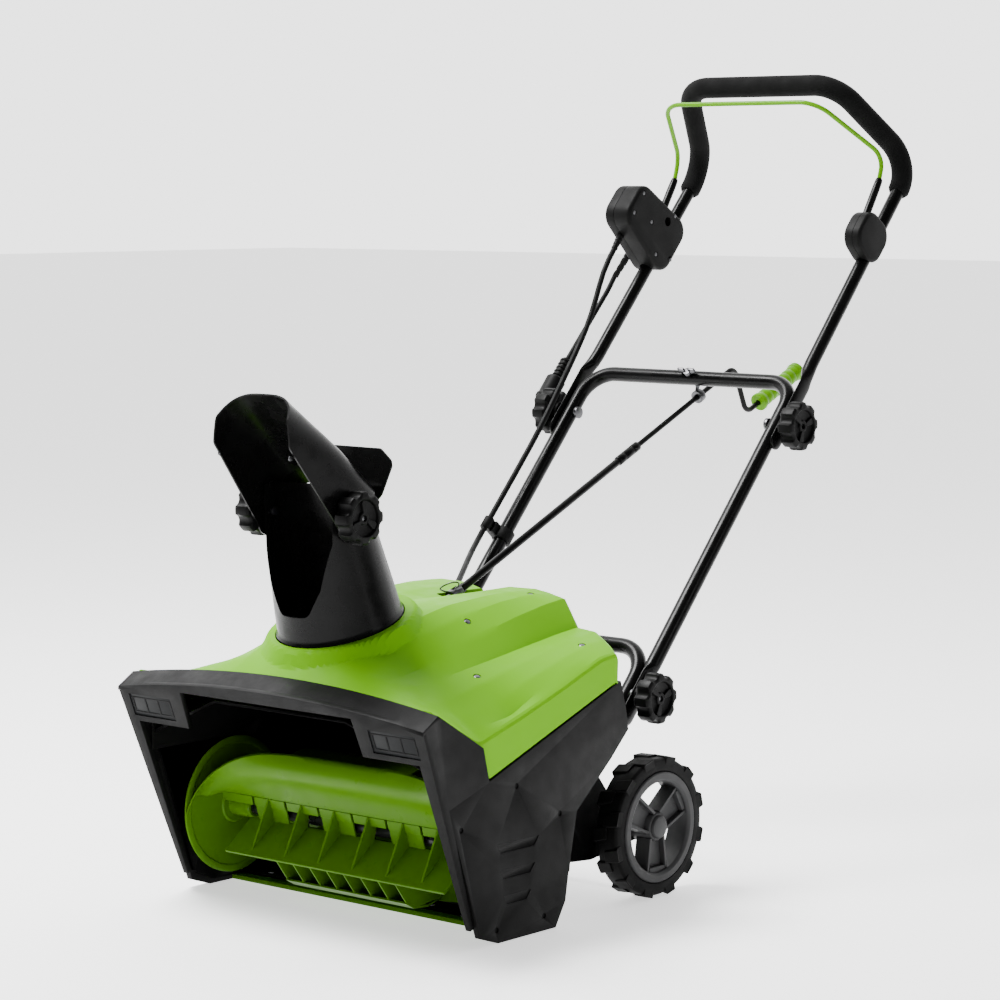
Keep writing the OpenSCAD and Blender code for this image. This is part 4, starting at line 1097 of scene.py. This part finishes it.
def taper(shape, start, end, wide, narrow):
    """A ribbed strain relief that narrows from start to end."""
    start = Vector(start)
    end = Vector(end)
    long = (end - start).length
    profile = [(0, narrow * 0.5), (0, wide)]
    for i in range(RELIEF_RIBS):
        near = long * (i + 0.35) / (RELIEF_RIBS + 0.4)
        r = wide + (narrow - wide) * near / long
        profile += [(near, r), (near + 0.8, r - 0.9), (near + 2.2, r - 1), (near + 3, r - 0.3)]
    profile += [(long - 0.8, narrow + 0.3), (long, narrow - 0.2), (long, narrow * 0.5)]
    shape.lathe(profile, centre=start, axis=end - start, steps=40)


def cables():
    run = eased(UPPER_CABLE + LOWER_CABLE, 24)
    tube = Shape(HANDLE)
    tube.tube(run, CABLE_D / 2, up=(1, 0, 0), steps=24)
    main = tube.make("power_cable", "rubber_black", None, ["power_cable_upper", "power_cable_lower"], bevel=0)
    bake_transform(main)

    tail = eased(PIGTAIL, 9)
    tube = Shape(HANDLE)
    tube.tube(tail, PIGTAIL_D / 2, up=(1, 0, 0), steps=24)
    pigtail = tube.make("pigtail", "rubber_black", "upper_frame", ["pigtail_cable"], bevel=0)
    plug = Shape(HANDLE)
    profile = [(0, 3), (0, 7)]
    for i in range(PLUG_RIBS):
        near = 3 + 7 * i
        profile += [(near, 7.6), (near + 0.5, 9.6), (near + 3.4, 10), (near + 4, 7.8)]
    profile += [(38, 9), (39, 13.5), (41.5, 15.5), (72, 15.5), (74, 16.2), (75, 17), (79, 17), (80, 16.2),
                (80, 1)]
    plug.lathe(profile, centre=PLUG_AT, axis=(0, -1, 0), steps=64)
    for dx in (-6.5, 5):
        plug.prism(rounded([(7, -8.2), (7, -1.8), (25, -1.8), (25, -8.2)], 1.2), PLUG_AT[0] + dx,
                   PLUG_AT[0] + 1.5 + dx)
    plug_body = plug.make("pigtail_plug_body", "rubber_black", "upper_frame", ["pigtail_plug"], bevel=0.4)

    relief = Shape(HANDLE)
    taper(relief, (-207, 303, 76), (-206, 264, 73.2), 6.5, 4.9)
    taper(relief, (-226, 322, 20), (-254.4, 273, -3.6), 6.5, 4.7)
    relief.make("strain_reliefs", "rubber_black", "upper_frame", ["strain_relief"], bevel=0.2)
    lower = Shape(HANDLE)
    taper(lower, (-51.6, -456, 168.5), (-74, -429, 148.4), 8, 4.9)
    lower.make("cable_gland", "rubber_black", "machine", ["cable_grommet"], bevel=0.2)


# ---- lamps ----

# Middle of a lamp, and the width of one of its three cells
LAMP_X = 219
LAMP_CELL = 24
# The ribs' front and back, measured on the lamps' face
RIB_FRONT = -1.7
RIB_BACK = -0.9


def lamps():
    """Reflectors and light-emitting dots in the three cells of each lamp, and ribs between cells."""
    dots = Shape(FRONT)
    for s in (-1, 1):
        for i in (-1, 0, 1):
            dots.lathe([(-0.6, 0.3), (-0.6, 7.6), (2.4, 8.6), (2.4, 7.9), (0.2, 5.4), (0.2, 2.6),
                        (1.3, 2.2), (1.8, 0.3)], centre=(s * LAMP_X + i * LAMP_CELL, -25.5, -5.6),
                       axis=(0, 0, 1), steps=32)
    dots.make("lamp_dots", "lens", "machine", bevel=0)
    ribs = Shape(FRONT)
    for s in (-1, 1):
        for i in (-1.5, -0.5, 0.5, 1.5):
            x = s * LAMP_X + i * LAMP_CELL
            ribs.block((x - 1.3, -36, RIB_FRONT), (x + 1.3, -15, RIB_BACK))
        for y in (-37, -15):
            ribs.block((s * LAMP_X - 37.3, y, RIB_FRONT), (s * LAMP_X + 37.3, y + 1.6, RIB_BACK))
    ribs.make("lamp_cell_ribs", "shell_black", "machine", bevel=0.2)


# ---- studio ----


def light(name, at, aim, size, power):
    data = bpy.data.lights.new(name, "AREA")
    data.shape = "RECTANGLE"
    data.size, data.size_y = size
    data.energy = power
    obj = bpy.data.objects.new(name, data)
    obj.location = at
    obj.rotation_euler = (Vector(aim) - Vector(at)).to_track_quat("-Z", "Y").to_euler()
    bpy.context.scene.collection.objects.link(obj)


# The studio is bright behind the machine and dim in front: the way to the bright side, where
# the change starts and ends, and both brightnesses
BACKDROP = (-0.652, 0.758, 0.0)
BACKDROP_FROM = -0.1
BACKDROP_FULL = 0.75
BACKDROP_GLOW = 3.0
FRONT_GLOW = 0.15
# The floor: its width in metres, its white, its roughness and its own glow
FLOOR_SIZE = 60
FLOOR_WHITE = (0.97, 0.97, 0.97, 1)
FLOOR_ROUGH = 0.7
FLOOR_GLOW = 1.0
WHITE = (1, 1, 1, 1)
# Name, place, aim, width and height in metres, power in watts
LIGHTS = (
    ("key", (-1.3, -0.9, 3.4), (0, 0, 0.3), (1.4, 1.4), 340),
    ("side", (3.2, 0.4, 1.4), (0, 0, 0.4), (0.5, 1.6), 12),
)


def studio():
    bpy.ops.mesh.primitive_plane_add(size=FLOOR_SIZE, location=(0, 0, 0))
    floor = bpy.context.object
    floor.name = "floor"
    pale = bpy.data.materials.new("floor_pale")
    pale.use_nodes = True
    shader = pale.node_tree.nodes["Principled BSDF"]
    fill(shader, {"Base Color": FLOOR_WHITE, "Roughness": FLOOR_ROUGH, "Emission Color": WHITE,
                  "Emission Strength": FLOOR_GLOW})
    floor.data.materials.append(pale)
    world = bpy.data.worlds.new("studio")
    bpy.context.scene.world = world
    world.use_nodes = True
    nodes = world.node_tree.nodes
    links = world.node_tree.links
    direction = nodes.new("ShaderNodeTexCoord")
    facing = nodes.new("ShaderNodeVectorMath")
    facing.operation = "DOT_PRODUCT"
    facing.inputs[1].default_value = BACKDROP
    glow = nodes.new("ShaderNodeMapRange")
    glow.interpolation_type = "SMOOTHSTEP"
    fill(glow, {"From Min": BACKDROP_FROM, "From Max": BACKDROP_FULL, "To Min": FRONT_GLOW,
                "To Max": BACKDROP_GLOW})
    links.new(direction.outputs["Generated"], facing.inputs[0])
    links.new(facing.outputs["Value"], glow.inputs["Value"])
    links.new(glow.outputs["Result"], nodes["Background"].inputs["Strength"])
    fill(nodes["Background"], {"Color": WHITE})
    for lamp in LIGHTS:
        light(*lamp)


cables()
studio()
cover()
inner_walls()
chute()
deflector()
knobs()
auger()
wheels()
lower_handles()
foam_grip(upper_handle())
switch_box()
switch_lid()
pivot_box()
bail()
crank()
lamps()
dress_cad_nodes()
